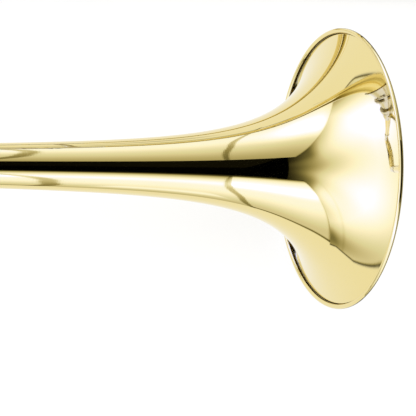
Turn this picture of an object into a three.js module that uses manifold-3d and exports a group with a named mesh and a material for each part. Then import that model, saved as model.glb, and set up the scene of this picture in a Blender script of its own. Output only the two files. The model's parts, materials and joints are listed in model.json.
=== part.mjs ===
// Straight tenor trombone, lying on its mouthpiece, the end of its hand slide and its bell.
// Millimetres, +Z up, the origin on the ground under the middle of the whole instrument.
// The instrument's own frame has the bell mouth in the plane x = 0, facing +X, and the bell's axis on
// the X axis. The slide's lower tube and the gooseneck share an axis beside it, along +Y, and the
// slide's upper tube, with the mouthpiece, lies below the lower one.

import * as THREE from "three";
import { mergeVertices } from "three/addons/utils/BufferGeometryUtils.js";
import Module from "manifold-3d";

const wasm = await Module();
wasm.setup();

// Sides of round pieces, and steps of curved ones
const bellSides = 36;
const tubeSides = 16;
const turnedSides = 24;
const smallSides = 12;
const wireSides = 6;
const flareStations = 11;
const stemStations = 5;
const beadSteps = 6;
const crookSteps = 14;

// Clearances, walls and the overrun of every cut
const fitGap = 0.3;
const drawnWall = 0.6;
const sleeveWall = 0.7;
const slideWall = 0.4;
const overrun = 2;

// Bore of the hand slide, and how far apart the three long axes lie
const boreRadius = 6.35;
const bellToSlide = 140;
const slideSpacing = 88;

// Bell: outer radius over the rolled rim, and the flare's own curve. The spun flare is butted and
// brazed to its stem at the seam, this far behind the rim.
const bell = {
  rimRadius: 102.2,
  beadRadius: 1.7,
  wall: 0.6,
  length: 520,
  seamBehind: 165,
  stemRadius: 18.17,
  stemTaper: 0.01343,
  flareReach: 150,
  flarePower: 4.04,
  curlDeg: 286,
};
// How the bell's stations crowd towards the rim, where the outline turns fastest
const stationCrowding = 2.2;
const ferrule = { length: 24, wall: 0.9 };

// Tuning slide: legs inside the sleeves of the bell section, and the crook behind them
const tuning = {
  sleeveLength: 72,
  legLength: 75,
  neckBoreRadius: 6.9,
  ferruleLength: 13.7,
};

// Gooseneck and the receiver that takes the hand slide
const receiver = {
  rear: -335,
  front: -268.3,
  threadLength: 16,
  threadRadius: 10.5,
  bodyRadius: 11.3,
  lap: 23,
  mouthRadius: 8.75,
  seatRadius: 8.3,
};
const gooseneckFrontRadius = 7.2;

// Tenon of the inner slide, which the receiver holds, and the nut that draws it in
const tenon = {
  length: 38,
  collarLength: 4,
  collarRadius: 9.9,
  neckRadius: 7.9,
  front: -236.3,
};
const lockNut = { length: 19, radius: 13.2, lipLength: 4.5, chamfer: 1.2 };

// Cork barrels at the head of the inner slide
const barrel = {
  rear: -236,
  length: 38,
  floor: 2,
  innerRadius: 9.1,
  wall: 0.7,
  beadHeight: 0.8,
  beadLength: 3,
  corkLength: 26,
};

// Inner tubes, with the thicker stocking at their far end, and the mouthpipe inside the upper one
const innerTube = { rear: -262, front: 402, stockingLength: 110, stockingSwell: 0.2 };
const mouthpipe = { length: 240, wall: 0.6, mouthWall: 0.4 };

// Outer slide
const outerTube = { wall: 0.5, lipSwell: 0.5, lipLength: 4 };
const gripSleeve = { standOff: 6, length: 42, wall: 0.85, beadHeight: 0.7, beadLength: 3 };
const crookFerrule = { rear: 402, length: 16, wall: 0.95, lap: 3 };
const endCrook = { straight: 4.7, wall: 0.6 };
const bumper = {
  socketRadius: 5.2,
  socketLength: 5,
  floor: 1,
  rubberRadius: 4.1,
  rubberProud: 5,
  tipShare: 0.7,
};

// Mouthpiece: where its rim lies, and its outline
const mouthpiece = {
  rimX: -364,
  rimRadius: 19.5,
  rimWidth: 6.7,
  rimRound: 2.6,
  rimSide: 3.1,
  cupDepth: 23,
  throatRadius: 3.2,
  throatLength: 7,
  length: 82,
  shankLength: 32,
  shankRadius: 6.3,
  tipRadius: 5.95,
  backboreRadius: 5.2,
};
// Down the outside of the bowl, as shares of the length down to the shank and of the rim's radius
const bowlShares = [
  [0.18, 0.93],
  [0.33, 0.82],
  [0.49, 0.64],
  [0.62, 0.48],
  [0.75, 0.385],
  [0.87, 0.36],
];
// Up the inside of the cup, as shares of its depth and of its radius
const cupShares = [
  [0.82, 0.46],
  [0.6, 0.75],
  [0.3, 0.94],
];
// Over the crown of the rim, as shares of its roundness and of its width
const crownShares = [
  [0.6, 0],
  [0.12, 0.2],
  [0, 0.48],
  [0.3, 0.85],
];
const mouthpieceReceiver = {
  rear: -310,
  radius: 8.6,
  rimRadius: 9.6,
  rimLength: 5,
};

// Braces: a saddle plate on each tube, with a boss that the rod meets
const brace = {
  plate: 1.1,
  footRadius: 6.6,
  bossRadius: 4.4,
  bossLength: 4.2,
  rodRadius: 2.9,
  gripRodRadius: 3.9,
  collarRadius: 3.9,
  collarLength: 2.4,
};
const rearBraceSetback = 39.7;
const innerBraceX = -250;
const tuningFootRadius = 5.4;

// Slide lock: a ring that turns on the lower cork barrel, its hook, and the pin that it catches
const lock = {
  ringLength: 9,
  thickness: 1.3,
  pinRadius: 1.5,
  pinLength: 3.8,
  tongueLength: 3.2,
  armDeg: 15,
  pinClearDeg: 13,
  tongueDeg: 25,
  turnDeg: 35,
  pinDeg: 90,
};

// Water key on the end of the lower outer tube, and its parts' sizes
const key = {
  nippleX: 411,
  nippleTop: 13.2,
  nippleRadius: 2.7,
  nippleFlange: 1,
  drainRadius: 1.5,
  corkRadius: 3.2,
  corkHeight: 2.4,
  cupWall: 0.8,
  cupDepth: 1.7,
  pivotX: 393,
  pivotHeight: 13.8,
  barrelRadius: 2.2,
  barrelLength: 6.4,
  pinRadius: 0.8,
  pinHead: 0.6,
  earInside: 5.4,
  earThickness: 1.2,
  earRadius: 3.2,
  baseLength: 12,
  basePlate: 1.1,
  barWidth: 2.6,
  barThickness: 1.8,
  touchReach: 23,
  touchLength: 11,
  touchWidth: 9,
  touchThickness: 1.4,
};
// Torsion spring round the key's pin: the upper leg lies under the touch, the lower one on the tube
const spring = {
  wireRadius: 0.25,
  coilRadius: 1.9,
  turns: 2.5,
  pitch: 0.95,
  upperLeg: 14,
  upperDrop: 1.1,
  lowerLeg: 9.5,
  lowerDrop: 4.6,
  steps: 40,
  sides: 5,
};

// Finishes
const lacqueredBrass = () => new THREE.MeshStandardMaterial({ color: 0xe0ab4e, roughness: 0.12, metalness: 1 });
const nickelSilver = () => new THREE.MeshStandardMaterial({ color: 0xc9c3b4, roughness: 0.16, metalness: 1 });
const hardChrome = () => new THREE.MeshStandardMaterial({ color: 0xd6dadd, roughness: 0.08, metalness: 1 });
const silverPlate = () => new THREE.MeshStandardMaterial({ color: 0xe6e3dc, roughness: 0.1, metalness: 1 });
const springSteel = () => new THREE.MeshStandardMaterial({ color: 0x9a9c9e, roughness: 0.3, metalness: 1 });
const paleCork = () => new THREE.MeshStandardMaterial({ color: 0xb98a5a, roughness: 0.9, metalness: 0 });
const blackRubber = () => new THREE.MeshStandardMaterial({ color: 0x1c1c1d, roughness: 0.75, metalness: 0 });

// Values that follow from the sizes above
const degrees = Math.PI / 180;
const lowerTubeY = bellToSlide;
const crookBend = bellToSlide / 2;
const slideBend = slideSpacing / 2;
const innerRadius = boreRadius + slideWall;
const outerBoreRadius = innerRadius + fitGap + innerTube.stockingSwell;
const outerRadius = outerBoreRadius + outerTube.wall;
const barrelFront = barrel.rear + barrel.length;
const barrelRadius = barrel.innerRadius + barrel.wall;
const gripRadius = outerRadius + fitGap + gripSleeve.wall;
const crookFerruleRadius = outerRadius + fitGap + crookFerrule.wall;
const sleeveFront = -bell.length - fitGap;
const sleeveRear = sleeveFront - tuning.sleeveLength;
const rearBraceX = sleeveFront - rearBraceSetback;
const tuningFerruleFront = sleeveRear - fitGap;
const tuningFerruleRear = tuningFerruleFront - tuning.ferruleLength;
const tuningBraceX = (tuningFerruleFront + tuningFerruleRear) / 2;
const receiverBodyRear = receiver.rear + receiver.lap + fitGap;
const threadRear = receiver.front - receiver.threadLength;
const frontBraceX = (receiverBodyRear + threadRear) / 2;
const corkFront = barrel.rear + barrel.floor + fitGap + barrel.corkLength;
const outerTubeRear = corkFront + fitGap;
const outerTubeFront = crookFerrule.rear + crookFerrule.length - crookFerrule.lap;
const crookStart = outerTubeFront + fitGap;
const crookApex = crookStart + endCrook.straight + slideBend + outerRadius;
const gripRear = barrelFront + gripSleeve.standOff;
const gripBraceX = gripRear + gripSleeve.length / 2;
const pinX = gripRear + gripSleeve.beadLength + fitGap + lock.pinRadius;
const hookBore = barrelRadius + barrel.beadHeight + fitGap;
const hookRadius = hookBore + lock.thickness;
const mouthpieceTip = mouthpiece.rimX + mouthpiece.length;

// Outer radius of the bell at a distance behind the point where the rim starts to roll
const sheetEdge = flareEdge();
const flareRise = sheetEdge.radius - bell.stemRadius;

function bellRadius(behind) {
  const flare = flareRise * (1 + behind / bell.flareReach) ** -bell.flarePower;
  return bell.stemRadius - bell.stemTaper * behind + flare;
}

// Slope of the bell's outline, as the radius gained towards the rim
function bellSlope(behind) {
  const fall = (bell.flarePower / bell.flareReach) * (1 + behind / bell.flareReach) ** (-bell.flarePower - 1);
  return bell.stemTaper + flareRise * fall;
}

// Where the outer face of the sheet meets the bead, so that the rim's inner face runs into the bead's
// outer circle without a step
function flareEdge() {
  const centre = bell.rimRadius - bell.beadRadius;
  const slope = ((centre - bell.stemRadius) * bell.flarePower) / bell.flareReach + bell.stemTaper;
  const run = Math.hypot(1, slope);
  const inside = bell.beadRadius - bell.wall;
  return {
    x: -bell.beadRadius + (inside * slope) / run,
    radius: centre - inside / run,
    angle: Math.atan2(-1, slope),
  };
}

// Radii of the tuning slide's tubes, from the bell's and the gooseneck's ends
const bellTailRadius = bellRadius(bell.length + sheetEdge.x);
const bellTuning = tuningTubes(bellTailRadius - bell.wall);
const neckTuning = tuningTubes(tuning.neckBoreRadius + drawnWall + fitGap);

function tuningTubes(sleeveBore) {
  const leg = sleeveBore - fitGap;
  return {
    sleeveBore,
    sleeve: sleeveBore + sleeveWall,
    leg,
    bore: leg - drawnWall,
    ferruleBore: leg + fitGap,
    ferrule: leg + fitGap + ferrule.wall,
  };
}

// Helpers for shapes

// A piece turned about the X axis: outline points are [x, radius], closed or starting and ending at 0
function turned(outline, count = tubeSides) {
  const points = outline.map(([x, radius]) => new THREE.Vector2(radius, x));
  const loop = outline.map(([x, radius]) => new THREE.Vector2(x, radius));
  if (THREE.ShapeUtils.area(loop) > 0) points.reverse();
  return new THREE.LatheGeometry(points, count).rotateZ(-Math.PI / 2);
}

function closed(outline) {
  return [...outline, outline[0]];
}

// A straight tube whose bore and outside may taper from one end to the other
function tube(rear, front, bore, outside, boreFront = bore, outsideFront = outside, count = tubeSides) {
  const outline = [
    [rear, outside],
    [front, outsideFront],
    [front, boreFront],
    [rear, bore],
  ];
  return turned(closed(outline), count);
}

function rod(rear, front, radius, count = tubeSides) {
  const outline = [
    [rear, 0],
    [rear, radius],
    [front, radius],
    [front, 0],
  ];
  return turned(outline, count);
}

// A block by its lowest and highest corners
function block(low, high) {
  const size = high.map((value, i) => value - low[i]);
  const middle = high.map((value, i) => (value + low[i]) / 2);
  return new THREE.BoxGeometry(...size).translate(...middle);
}

// A half-circle tube between two straight ends. It starts at the origin along +X and turns towards +Y.
// The radii are given at its start and at its end. Bores of zero make it a solid bar.
function bow(straight, bend, bores, outsides, count) {
  const length = 2 * straight + Math.PI * bend;
  const stations = [0];
  for (let i = 0; i <= crookSteps; i++) stations.push(straight + (Math.PI * bend * i) / crookSteps);
  stations.push(length);
  const at = ([start, end], u) => start + ((end - start) * u) / length;
  const outer = stations.map((u) => [u, at(outsides, u)]);
  const inner = stations.map((u) => [u, at(bores, u)]).reverse();
  const bar = [[0, 0], ...outer, [length, 0]];
  const geometry = turned(bores[0] > 0 ? closed([...outer, ...inner]) : bar, count);
  const place = geometry.getAttribute("position");
  for (let i = 0; i < place.count; i++) {
    const u = place.getX(i);
    const y = place.getY(i);
    const angle = THREE.MathUtils.clamp((u - straight) / bend, 0, Math.PI);
    const along = u - straight - angle * bend;
    const x = straight + (bend - y) * Math.sin(angle) + along * Math.cos(angle);
    place.setXYZ(i, x, bend - (bend - y) * Math.cos(angle) + along * Math.sin(angle), place.getZ(i));
  }
  return geometry;
}

// A sector of a ring about the X axis, between two angles measured from +Y towards +Z
function ringSector(rear, front, bore, outside, fromDeg, toDeg) {
  const shape = new THREE.Shape();
  const from = fromDeg * degrees;
  const to = toDeg * degrees;
  shape.absarc(0, 0, outside, from, to, false);
  shape.absarc(0, 0, bore, to, from, true);
  shape.closePath();
  const options = { depth: front - rear, bevelEnabled: false, curveSegments: smallSides / 2 };
  return new THREE.ExtrudeGeometry(shape, options)
    .rotateX(Math.PI / 2)
    .rotateZ(Math.PI / 2)
    .translate(rear, 0, 0);
}

// Helpers for cuts and joins

function solid(geometry) {
  const bare = geometry.clone();
  bare.deleteAttribute("normal");
  bare.deleteAttribute("uv");
  const merged = mergeVertices(bare, fitGap / 1000);
  const index = merged.index.array;
  const corners = [];
  for (let i = 0; i < index.length; i += 3) {
    const [a, b, c] = [index[i], index[i + 1], index[i + 2]];
    if (a !== b && b !== c && c !== a) corners.push(a, b, c);
  }
  const vertProperties = merged.attributes.position.array;
  return new wasm.Manifold(new wasm.Mesh({ numProp: 3, vertProperties, triVerts: new Uint32Array(corners) }));
}

function join(...geometries) {
  return geometries.map(solid).reduce((whole, piece) => whole.add(piece));
}

function cut(body, ...tools) {
  return tools.map(solid).reduce((left, tool) => left.subtract(tool), body);
}

function geometryOf(body) {
  const mesh = body.getMesh();
  const geometry = new THREE.BufferGeometry();
  geometry.setAttribute("position", new THREE.BufferAttribute(mesh.vertProperties, 3));
  geometry.setIndex(new THREE.BufferAttribute(mesh.triVerts, 1));
  geometry.computeVertexNormals();
  return geometry;
}

// Named pieces

const trombone = new THREE.Group();

function add(parent, name, geometry, material) {
  const mesh = new THREE.Mesh(geometry, material);
  mesh.name = name;
  parent.add(mesh);
  return mesh;
}

function axisGroup(y, z) {
  const group = new THREE.Group();
  group.position.set(0, y, z);
  trombone.add(group);
  return group;
}

const bellAxis = axisGroup(0, 0);
const lowerAxis = axisGroup(lowerTubeY, 0);
const upperAxis = axisGroup(lowerTubeY, -slideSpacing);

// Bell

// Outer and inner face of a length of the bell, between two distances behind the sheet's edge. An end
// that is cut, and not rolled, is square to the axis.
function bellOutline(rear, front, stations) {
  const outer = [];
  const inner = [];
  for (let i = 0; i < stations; i++) {
    const behind = front + (rear - front) * (1 - i / (stations - 1)) ** stationCrowding;
    const slope = bellSlope(behind);
    const run = Math.hypot(1, slope);
    const x = sheetEdge.x - behind;
    const radius = bellRadius(behind);
    outer.push([x, radius]);
    const isCut = behind === rear || (behind === front && front > 0);
    const innerX = isCut ? x : x + (bell.wall * slope) / run;
    inner.push([innerX, radius - bell.wall / run]);
  }
  return { outer, inner };
}

// The rim rolls outwards round its wire: from the inner face over the front and back to the flare
function beadArc(radius) {
  const points = [];
  const start = sheetEdge.angle;
  const sweep = bell.curlDeg * degrees;
  for (let i = 1; i <= beadSteps; i++) {
    const angle = start + (sweep * i) / beadSteps;
    points.push([
      -bell.beadRadius + radius * Math.cos(angle),
      bell.rimRadius - bell.beadRadius + radius * Math.sin(angle),
    ]);
  }
  return points;
}

function buildBell() {
  const seam = bell.seamBehind + sheetEdge.x;
  const flare = bellOutline(seam - fitGap / 2, 0, flareStations);
  const curlOutside = beadArc(bell.beadRadius);
  const curlInside = beadArc(bell.beadRadius - bell.wall).reverse();
  const outline = closed([...flare.inner, ...curlOutside, ...curlInside, ...flare.outer.reverse()]);
  add(bellAxis, "bell_flare", turned(outline, bellSides), lacqueredBrass());
  const stem = bellOutline(bell.length + sheetEdge.x, seam + fitGap / 2, stemStations);
  const stemOutline = closed([...stem.inner, ...stem.outer.reverse()]);
  add(bellAxis, "bell_stem", turned(stemOutline, bellSides), lacqueredBrass());
  const wireRadius = bell.beadRadius - bell.wall - fitGap;
  const centreRadius = bell.rimRadius - bell.beadRadius;
  const wire = new THREE.TorusGeometry(centreRadius, wireRadius, wireSides, bellSides)
    .rotateY(Math.PI / 2)
    .translate(-bell.beadRadius, 0, 0);
  add(bellAxis, "rim_wire", wire, springSteel());
}

// Sleeves and ferrules on the bell and the gooseneck

function buildSleeve(axis, side, tubes, tailRadius, material) {
  add(axis, side + "_tuning_sleeve", tube(sleeveRear, sleeveFront, tubes.sleeveBore, tubes.sleeve), nickelSilver());
  const bore = Math.max(tailRadius, tubes.sleeve) + fitGap;
  const middle = sleeveFront;
  const outline = closed([
    [middle - ferrule.length / 2, bore + ferrule.wall / 2],
    [middle - ferrule.length / 4, bore + ferrule.wall],
    [middle + ferrule.length / 4, bore + ferrule.wall],
    [middle + ferrule.length / 2, bore + ferrule.wall / 2],
    [middle + ferrule.length / 2, bore],
    [middle - ferrule.length / 2, bore],
  ]);
  add(axis, side + "_ferrule", turned(outline), material);
}

function buildGooseneck() {
  const front = receiver.rear + receiver.lap;
  const tail = neckTuning.sleeveBore + drawnWall;
  const frontBore = gooseneckFrontRadius - drawnWall;
  const neck = tube(-bell.length, front, neckTuning.sleeveBore, tail, frontBore, gooseneckFrontRadius);
  add(lowerAxis, "gooseneck", neck, lacqueredBrass());
}

function buildReceiver() {
  const { rear, front, threadRadius, bodyRadius, mouthRadius, seatRadius } = receiver;
  const lapEnd = receiverBodyRear;
  const neckBore = gooseneckFrontRadius + fitGap * 2;
  const seatRear = front - tenon.length - fitGap * 2;
  const outline = closed([
    [rear, neckBore + drawnWall],
    [rear + ferrule.length / 4, neckBore + drawnWall * 2],
    [lapEnd - ferrule.length / 4, bodyRadius - ferrule.wall],
    [lapEnd, bodyRadius],
    [threadRear, bodyRadius],
    [threadRear, threadRadius],
    [front, threadRadius],
    [front, mouthRadius],
    [seatRear, seatRadius],
    [seatRear, gooseneckFrontRadius - drawnWall],
    [lapEnd, gooseneckFrontRadius - drawnWall],
    [lapEnd, neckBore],
    [rear, neckBore],
  ]);
  add(lowerAxis, "slide_receiver", turned(outline, turnedSides), nickelSilver());
}

// Braces

// A brace's foot in its own frame: its tube lies along X through the origin, and the rod leaves along +Y
function braceFoot(tubeRadius, footRadius, count) {
  const seat = tubeRadius + fitGap;
  const top = seat + brace.plate;
  const plate = solid(rod(-footRadius * 2, footRadius * 2, top, count)).intersect(
    solid(rod(0, top + overrun, footRadius, smallSides * 2).rotateZ(Math.PI / 2)),
  );
  const boss = solid(rod(0, top + brace.bossLength, brace.bossRadius, smallSides).rotateZ(Math.PI / 2));
  return cut(plate.add(boss), rod(-footRadius * 3, footRadius * 3, seat, count));
}

function braceRod(length, radius) {
  const collar = Math.max(brace.collarRadius, radius);
  const outline = [
    [0, 0],
    [0, collar],
    [brace.collarLength, radius],
    [length / 2 - brace.collarLength, radius],
    [length / 2, collar],
    [length / 2 + brace.collarLength, radius],
    [length - brace.collarLength, radius],
    [length, collar],
    [length, 0],
  ];
  return turned(outline, smallSides);
}

// A whole brace along a group's +Y, between two tubes that lie the given distance apart
function buildBrace(name, group, apart, near, far, radius, footRadius, material) {
  const reach = (foot) => foot.radius + fitGap + brace.plate + brace.bossLength;
  const nearFoot = geometryOf(braceFoot(near.radius, footRadius, near.sides));
  const farFoot = geometryOf(braceFoot(far.radius, footRadius, far.sides)).rotateX(Math.PI).translate(0, apart, 0);
  const start = reach(near) + fitGap;
  const length = apart - reach(far) - fitGap - start;
  add(group, name + "_rod", braceRod(length, radius).rotateZ(Math.PI / 2).translate(0, start, 0), material());
  add(group, name + "_flange_" + near.side, nearFoot, material());
  add(group, name + "_flange_" + far.side, farFoot, material());
}

// The frame of a brace at a station along the instrument. Slide braces stand across the two slide tubes.
function braceGroup(x, across) {
  const group = new THREE.Group();
  group.position.set(x, across ? lowerTubeY : 0, 0);
  if (across) group.rotation.x = -Math.PI / 2;
  trombone.add(group);
  return group;
}

function buildBellBraces() {
  const stemRadius = bellRadius(-frontBraceX - brace.footRadius + sheetEdge.x);
  buildBrace(
    "front_brace",
    braceGroup(frontBraceX, false),
    bellToSlide,
    { radius: stemRadius, side: "bell", sides: bellSides },
    { radius: receiver.bodyRadius, side: "neck", sides: turnedSides },
    brace.rodRadius,
    brace.footRadius,
    lacqueredBrass,
  );
  buildBrace(
    "rear_brace",
    braceGroup(rearBraceX, false),
    bellToSlide,
    { radius: bellTuning.sleeve, side: "bell", sides: tubeSides },
    { radius: neckTuning.sleeve, side: "neck", sides: tubeSides },
    brace.rodRadius,
    brace.footRadius,
    lacqueredBrass,
  );
}

// Tuning slide

function buildTuningSlide() {
  const legRear = tuningBraceX + fitGap / 2;
  const sides = [
    [bellAxis, "bell", bellTuning],
    [lowerAxis, "neck", neckTuning],
  ];
  for (const [axis, side, tubes] of sides) {
    const leg = tube(legRear, legRear + tuning.legLength, tubes.bore, tubes.leg);
    const ring = tube(tuningFerruleRear, tuningFerruleFront, tubes.ferruleBore, tubes.ferrule);
    add(axis, "tuning_leg_" + side, leg, nickelSilver());
    add(axis, "tuning_ferrule_" + side, ring, nickelSilver());
  }
  const crookEnd = tuningBraceX - fitGap / 2;
  const bores = [neckTuning.bore, bellTuning.bore];
  const outsides = [neckTuning.leg, bellTuning.leg];
  const crook = bow(crookEnd - tuningFerruleRear, crookBend, bores, outsides, tubeSides)
    .rotateZ(Math.PI)
    .translate(crookEnd, 0, 0);
  add(lowerAxis, "tuning_crook", crook, lacqueredBrass());
  buildBrace(
    "tuning_brace",
    braceGroup(tuningBraceX, false),
    bellToSlide,
    { radius: bellTuning.ferrule, side: "bell", sides: tubeSides },
    { radius: neckTuning.ferrule, side: "neck", sides: tubeSides },
    brace.rodRadius,
    tuningFootRadius,
    lacqueredBrass,
  );
}

// Inner slide

function buildInnerTube(axis, name) {
  const stockingRear = innerTube.front - innerTube.stockingLength;
  const stocking = innerRadius + innerTube.stockingSwell;
  const outline = closed([
    [innerTube.rear, innerRadius],
    [stockingRear, innerRadius],
    [stockingRear + innerTube.stockingSwell, stocking],
    [innerTube.front, stocking],
    [innerTube.front, boreRadius],
    [innerTube.rear, boreRadius],
  ]);
  add(axis, name, turned(outline), hardChrome());
}

function buildBarrel(axis, side) {
  const { rear, floor, beadHeight, beadLength } = barrel;
  const outline = closed([
    [rear, barrelRadius],
    [barrelFront - beadLength, barrelRadius],
    [barrelFront - beadLength, barrelRadius + beadHeight],
    [barrelFront, barrelRadius + beadHeight],
    [barrelFront, barrel.innerRadius],
    [rear + floor, barrel.innerRadius],
    [rear + floor, innerRadius + fitGap],
    [rear, innerRadius + fitGap],
  ]);
  const corkRear = rear + floor + fitGap;
  const cork = tube(corkRear, corkFront, innerRadius + fitGap, barrel.innerRadius - fitGap);
  add(axis, side + "_cork_barrel", turned(outline), nickelSilver());
  add(axis, side + "_slide_cork", cork, paleCork());
}

function buildTenon() {
  const rear = receiver.front - tenon.length;
  const collarRear = receiver.front + fitGap;
  const collarFront = collarRear + tenon.collarLength;
  const outline = closed([
    [rear, receiver.seatRadius - fitGap],
    [receiver.front, receiver.mouthRadius - fitGap],
    [collarRear, receiver.mouthRadius - fitGap],
    [collarRear, tenon.collarRadius],
    [collarFront, tenon.collarRadius],
    [collarFront, tenon.neckRadius],
    [tenon.front, tenon.neckRadius],
    [tenon.front, innerRadius + fitGap],
    [innerTube.rear - fitGap, innerRadius + fitGap],
    [innerTube.rear - fitGap, boreRadius],
    [rear, boreRadius],
  ]);
  add(lowerAxis, "slide_tenon", turned(outline, turnedSides), nickelSilver());
}

function buildLockNut() {
  const front = receiver.front + fitGap * 2 + tenon.collarLength + lockNut.lipLength;
  const rear = front - lockNut.length;
  const lipRear = front - lockNut.lipLength;
  const { radius, chamfer } = lockNut;
  const outline = closed([
    [rear, radius - chamfer],
    [rear + chamfer, radius],
    [front - chamfer, radius],
    [front, radius - chamfer],
    [front, tenon.neckRadius + fitGap],
    [lipRear, tenon.neckRadius + fitGap],
    [lipRear, receiver.threadRadius + fitGap],
    [rear, receiver.threadRadius + fitGap],
  ]);
  add(lowerAxis, "lock_nut", turned(outline, turnedSides), nickelSilver());
}

function buildMouthpieceReceiver() {
  const { rear, radius, rimRadius, rimLength } = mouthpieceReceiver;
  const taper = (mouthpiece.shankRadius - mouthpiece.tipRadius) / mouthpiece.shankLength;
  const socketFront = mouthpieceTip + fitGap;
  const socketRadius = mouthpiece.tipRadius + fitGap;
  const pipeBore = boreRadius - fitGap - mouthpipe.wall;
  const outline = closed([
    [rear, rimRadius],
    [rear + rimLength, rimRadius],
    [rear + rimLength, radius],
    [tenon.front, radius],
    [tenon.front, innerRadius + fitGap],
    [innerTube.rear - fitGap, innerRadius + fitGap],
    [innerTube.rear - fitGap, pipeBore],
    [socketFront, pipeBore],
    [socketFront, socketRadius],
    [rear, socketRadius + taper * (socketFront - rear)],
  ]);
  add(upperAxis, "mouthpiece_receiver", turned(outline), nickelSilver());
}

function buildMouthpipe() {
  const front = innerTube.rear + mouthpipe.length;
  const outside = boreRadius - fitGap;
  const pipe = tube(innerTube.rear, front, outside - mouthpipe.wall, outside, outside - mouthpipe.mouthWall);
  add(upperAxis, "mouthpipe", pipe, lacqueredBrass());
}

function buildMouthpiece() {
  const { rimX, rimRadius, rimWidth, rimRound, rimSide, cupDepth, length, shankLength } = mouthpiece;
  const cupRadius = rimRadius - rimWidth;
  const bowlLength = length - shankLength;
  const outline = closed([
    [rimX + rimRound, rimRadius],
    [rimX + rimRound + rimSide, rimRadius],
    ...bowlShares.map(([down, out]) => [rimX + bowlLength * down, rimRadius * out]),
    [rimX + bowlLength, mouthpiece.shankRadius],
    [mouthpieceTip, mouthpiece.tipRadius],
    [mouthpieceTip, mouthpiece.backboreRadius],
    [rimX + cupDepth + mouthpiece.throatLength, mouthpiece.throatRadius],
    [rimX + cupDepth, mouthpiece.throatRadius],
    ...cupShares.map(([down, out]) => [rimX + cupDepth * down, cupRadius * out]),
    ...crownShares.map(([down, out]) => [rimX + rimRound * down, cupRadius + rimWidth * out]),
  ]);
  add(upperAxis, "mouthpiece", turned(outline, turnedSides), silverPlate());
}

// The two brace feet that stand on the tubes of a slide brace, measured down from the lower tube
function buildSlideBrace(name, x, lowerRadius, upperRadius, radius, material) {
  buildBrace(
    name,
    braceGroup(x, true),
    slideSpacing,
    { radius: lowerRadius, side: "lower", sides: tubeSides },
    { radius: upperRadius, side: "upper", sides: tubeSides },
    radius,
    brace.footRadius,
    material,
  );
}

function buildInnerSlide() {
  buildTenon();
  buildMouthpieceReceiver();
  buildMouthpipe();
  for (const [axis, side] of [
    [lowerAxis, "lower"],
    [upperAxis, "upper"],
  ]) {
    buildInnerTube(axis, side + "_inner_tube");
    buildBarrel(axis, side);
  }
  buildSlideBrace(
    "inner_brace",
    innerBraceX,
    tenon.neckRadius,
    mouthpieceReceiver.radius,
    brace.rodRadius,
    nickelSilver,
  );
}

// Slide lock

function buildSlideLock() {
  const front = barrelFront - barrel.beadLength - fitGap;
  const rear = front - lock.ringLength;
  const tongueRear = pinX + lock.pinRadius + fitGap;
  const tongueFront = tongueRear + lock.tongueLength;
  const armFrom = lock.pinDeg + lock.turnDeg + lock.pinClearDeg;
  const armTo = armFrom + lock.armDeg;
  const tongueFrom = armFrom - lock.tongueDeg;
  const ring = tube(rear, front, barrelRadius + fitGap, hookRadius, undefined, undefined, turnedSides);
  const arm = ringSector(front - lock.thickness, tongueFront, hookBore, hookRadius, armFrom, armTo);
  const tongue = ringSector(tongueRear, tongueFront, hookBore, hookRadius, tongueFrom, armTo - lock.armDeg / 2);
  add(lowerAxis, "slide_lock_ring", geometryOf(join(ring, arm, tongue)), nickelSilver());
}

function buildLockPin() {
  const seat = gripRadius + fitGap;
  const pin = rod(0, seat + lock.pinLength, lock.pinRadius, smallSides).rotateZ(Math.PI / 2);
  const cutPin = geometryOf(cut(solid(pin), rod(-overrun, overrun, seat)))
    .rotateX(lock.pinDeg * degrees)
    .translate(pinX, 0, 0);
  add(lowerAxis, "lock_pin", cutPin, nickelSilver());
}

// Outer slide

function outerTubeShape() {
  const lip = outerRadius + outerTube.lipSwell;
  const outline = closed([
    [outerTubeRear, lip],
    [outerTubeRear + outerTube.lipLength, lip],
    [outerTubeRear + outerTube.lipLength, outerRadius],
    [outerTubeFront, outerRadius],
    [outerTubeFront, outerBoreRadius],
    [outerTubeRear, outerBoreRadius],
  ]);
  return turned(outline);
}

function gripSleeveShape() {
  const { length, beadHeight, beadLength } = gripSleeve;
  const front = gripRear + length;
  const outline = closed([
    [gripRear, gripRadius + beadHeight],
    [gripRear + beadLength, gripRadius + beadHeight],
    [gripRear + beadLength, gripRadius],
    [front - beadLength, gripRadius],
    [front - beadLength, gripRadius + beadHeight],
    [front, gripRadius + beadHeight],
    [front, outerRadius + fitGap],
    [gripRear, outerRadius + fitGap],
  ]);
  return turned(outline);
}

function crookFerruleShape() {
  const front = crookFerrule.rear + crookFerrule.length;
  return tube(crookFerrule.rear, front, outerRadius + fitGap, crookFerruleRadius);
}

// The drain under the water key's nipple, square to the lower tube
function drainHole() {
  return rod(0, key.nippleTop + overrun, key.drainRadius, smallSides)
    .rotateY(-Math.PI / 2)
    .translate(key.nippleX, 0, 0);
}

// The crook as a solid bar, fatter than the real one by its clearance, to seat the bumper on
function crookSeat() {
  const radius = outerRadius + fitGap;
  return bow(endCrook.straight, slideBend, [0, 0], [radius, radius], tubeSides)
    .rotateX(Math.PI / 2)
    .translate(crookStart, 0, 0);
}

function buildEndCrook() {
  const bore = outerRadius - endCrook.wall;
  const crook = bow(endCrook.straight, slideBend, [bore, bore], [outerRadius, outerRadius], tubeSides)
    .rotateX(Math.PI / 2)
    .translate(crookStart, 0, 0);
  add(upperAxis, "end_crook", crook, lacqueredBrass());
}

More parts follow.
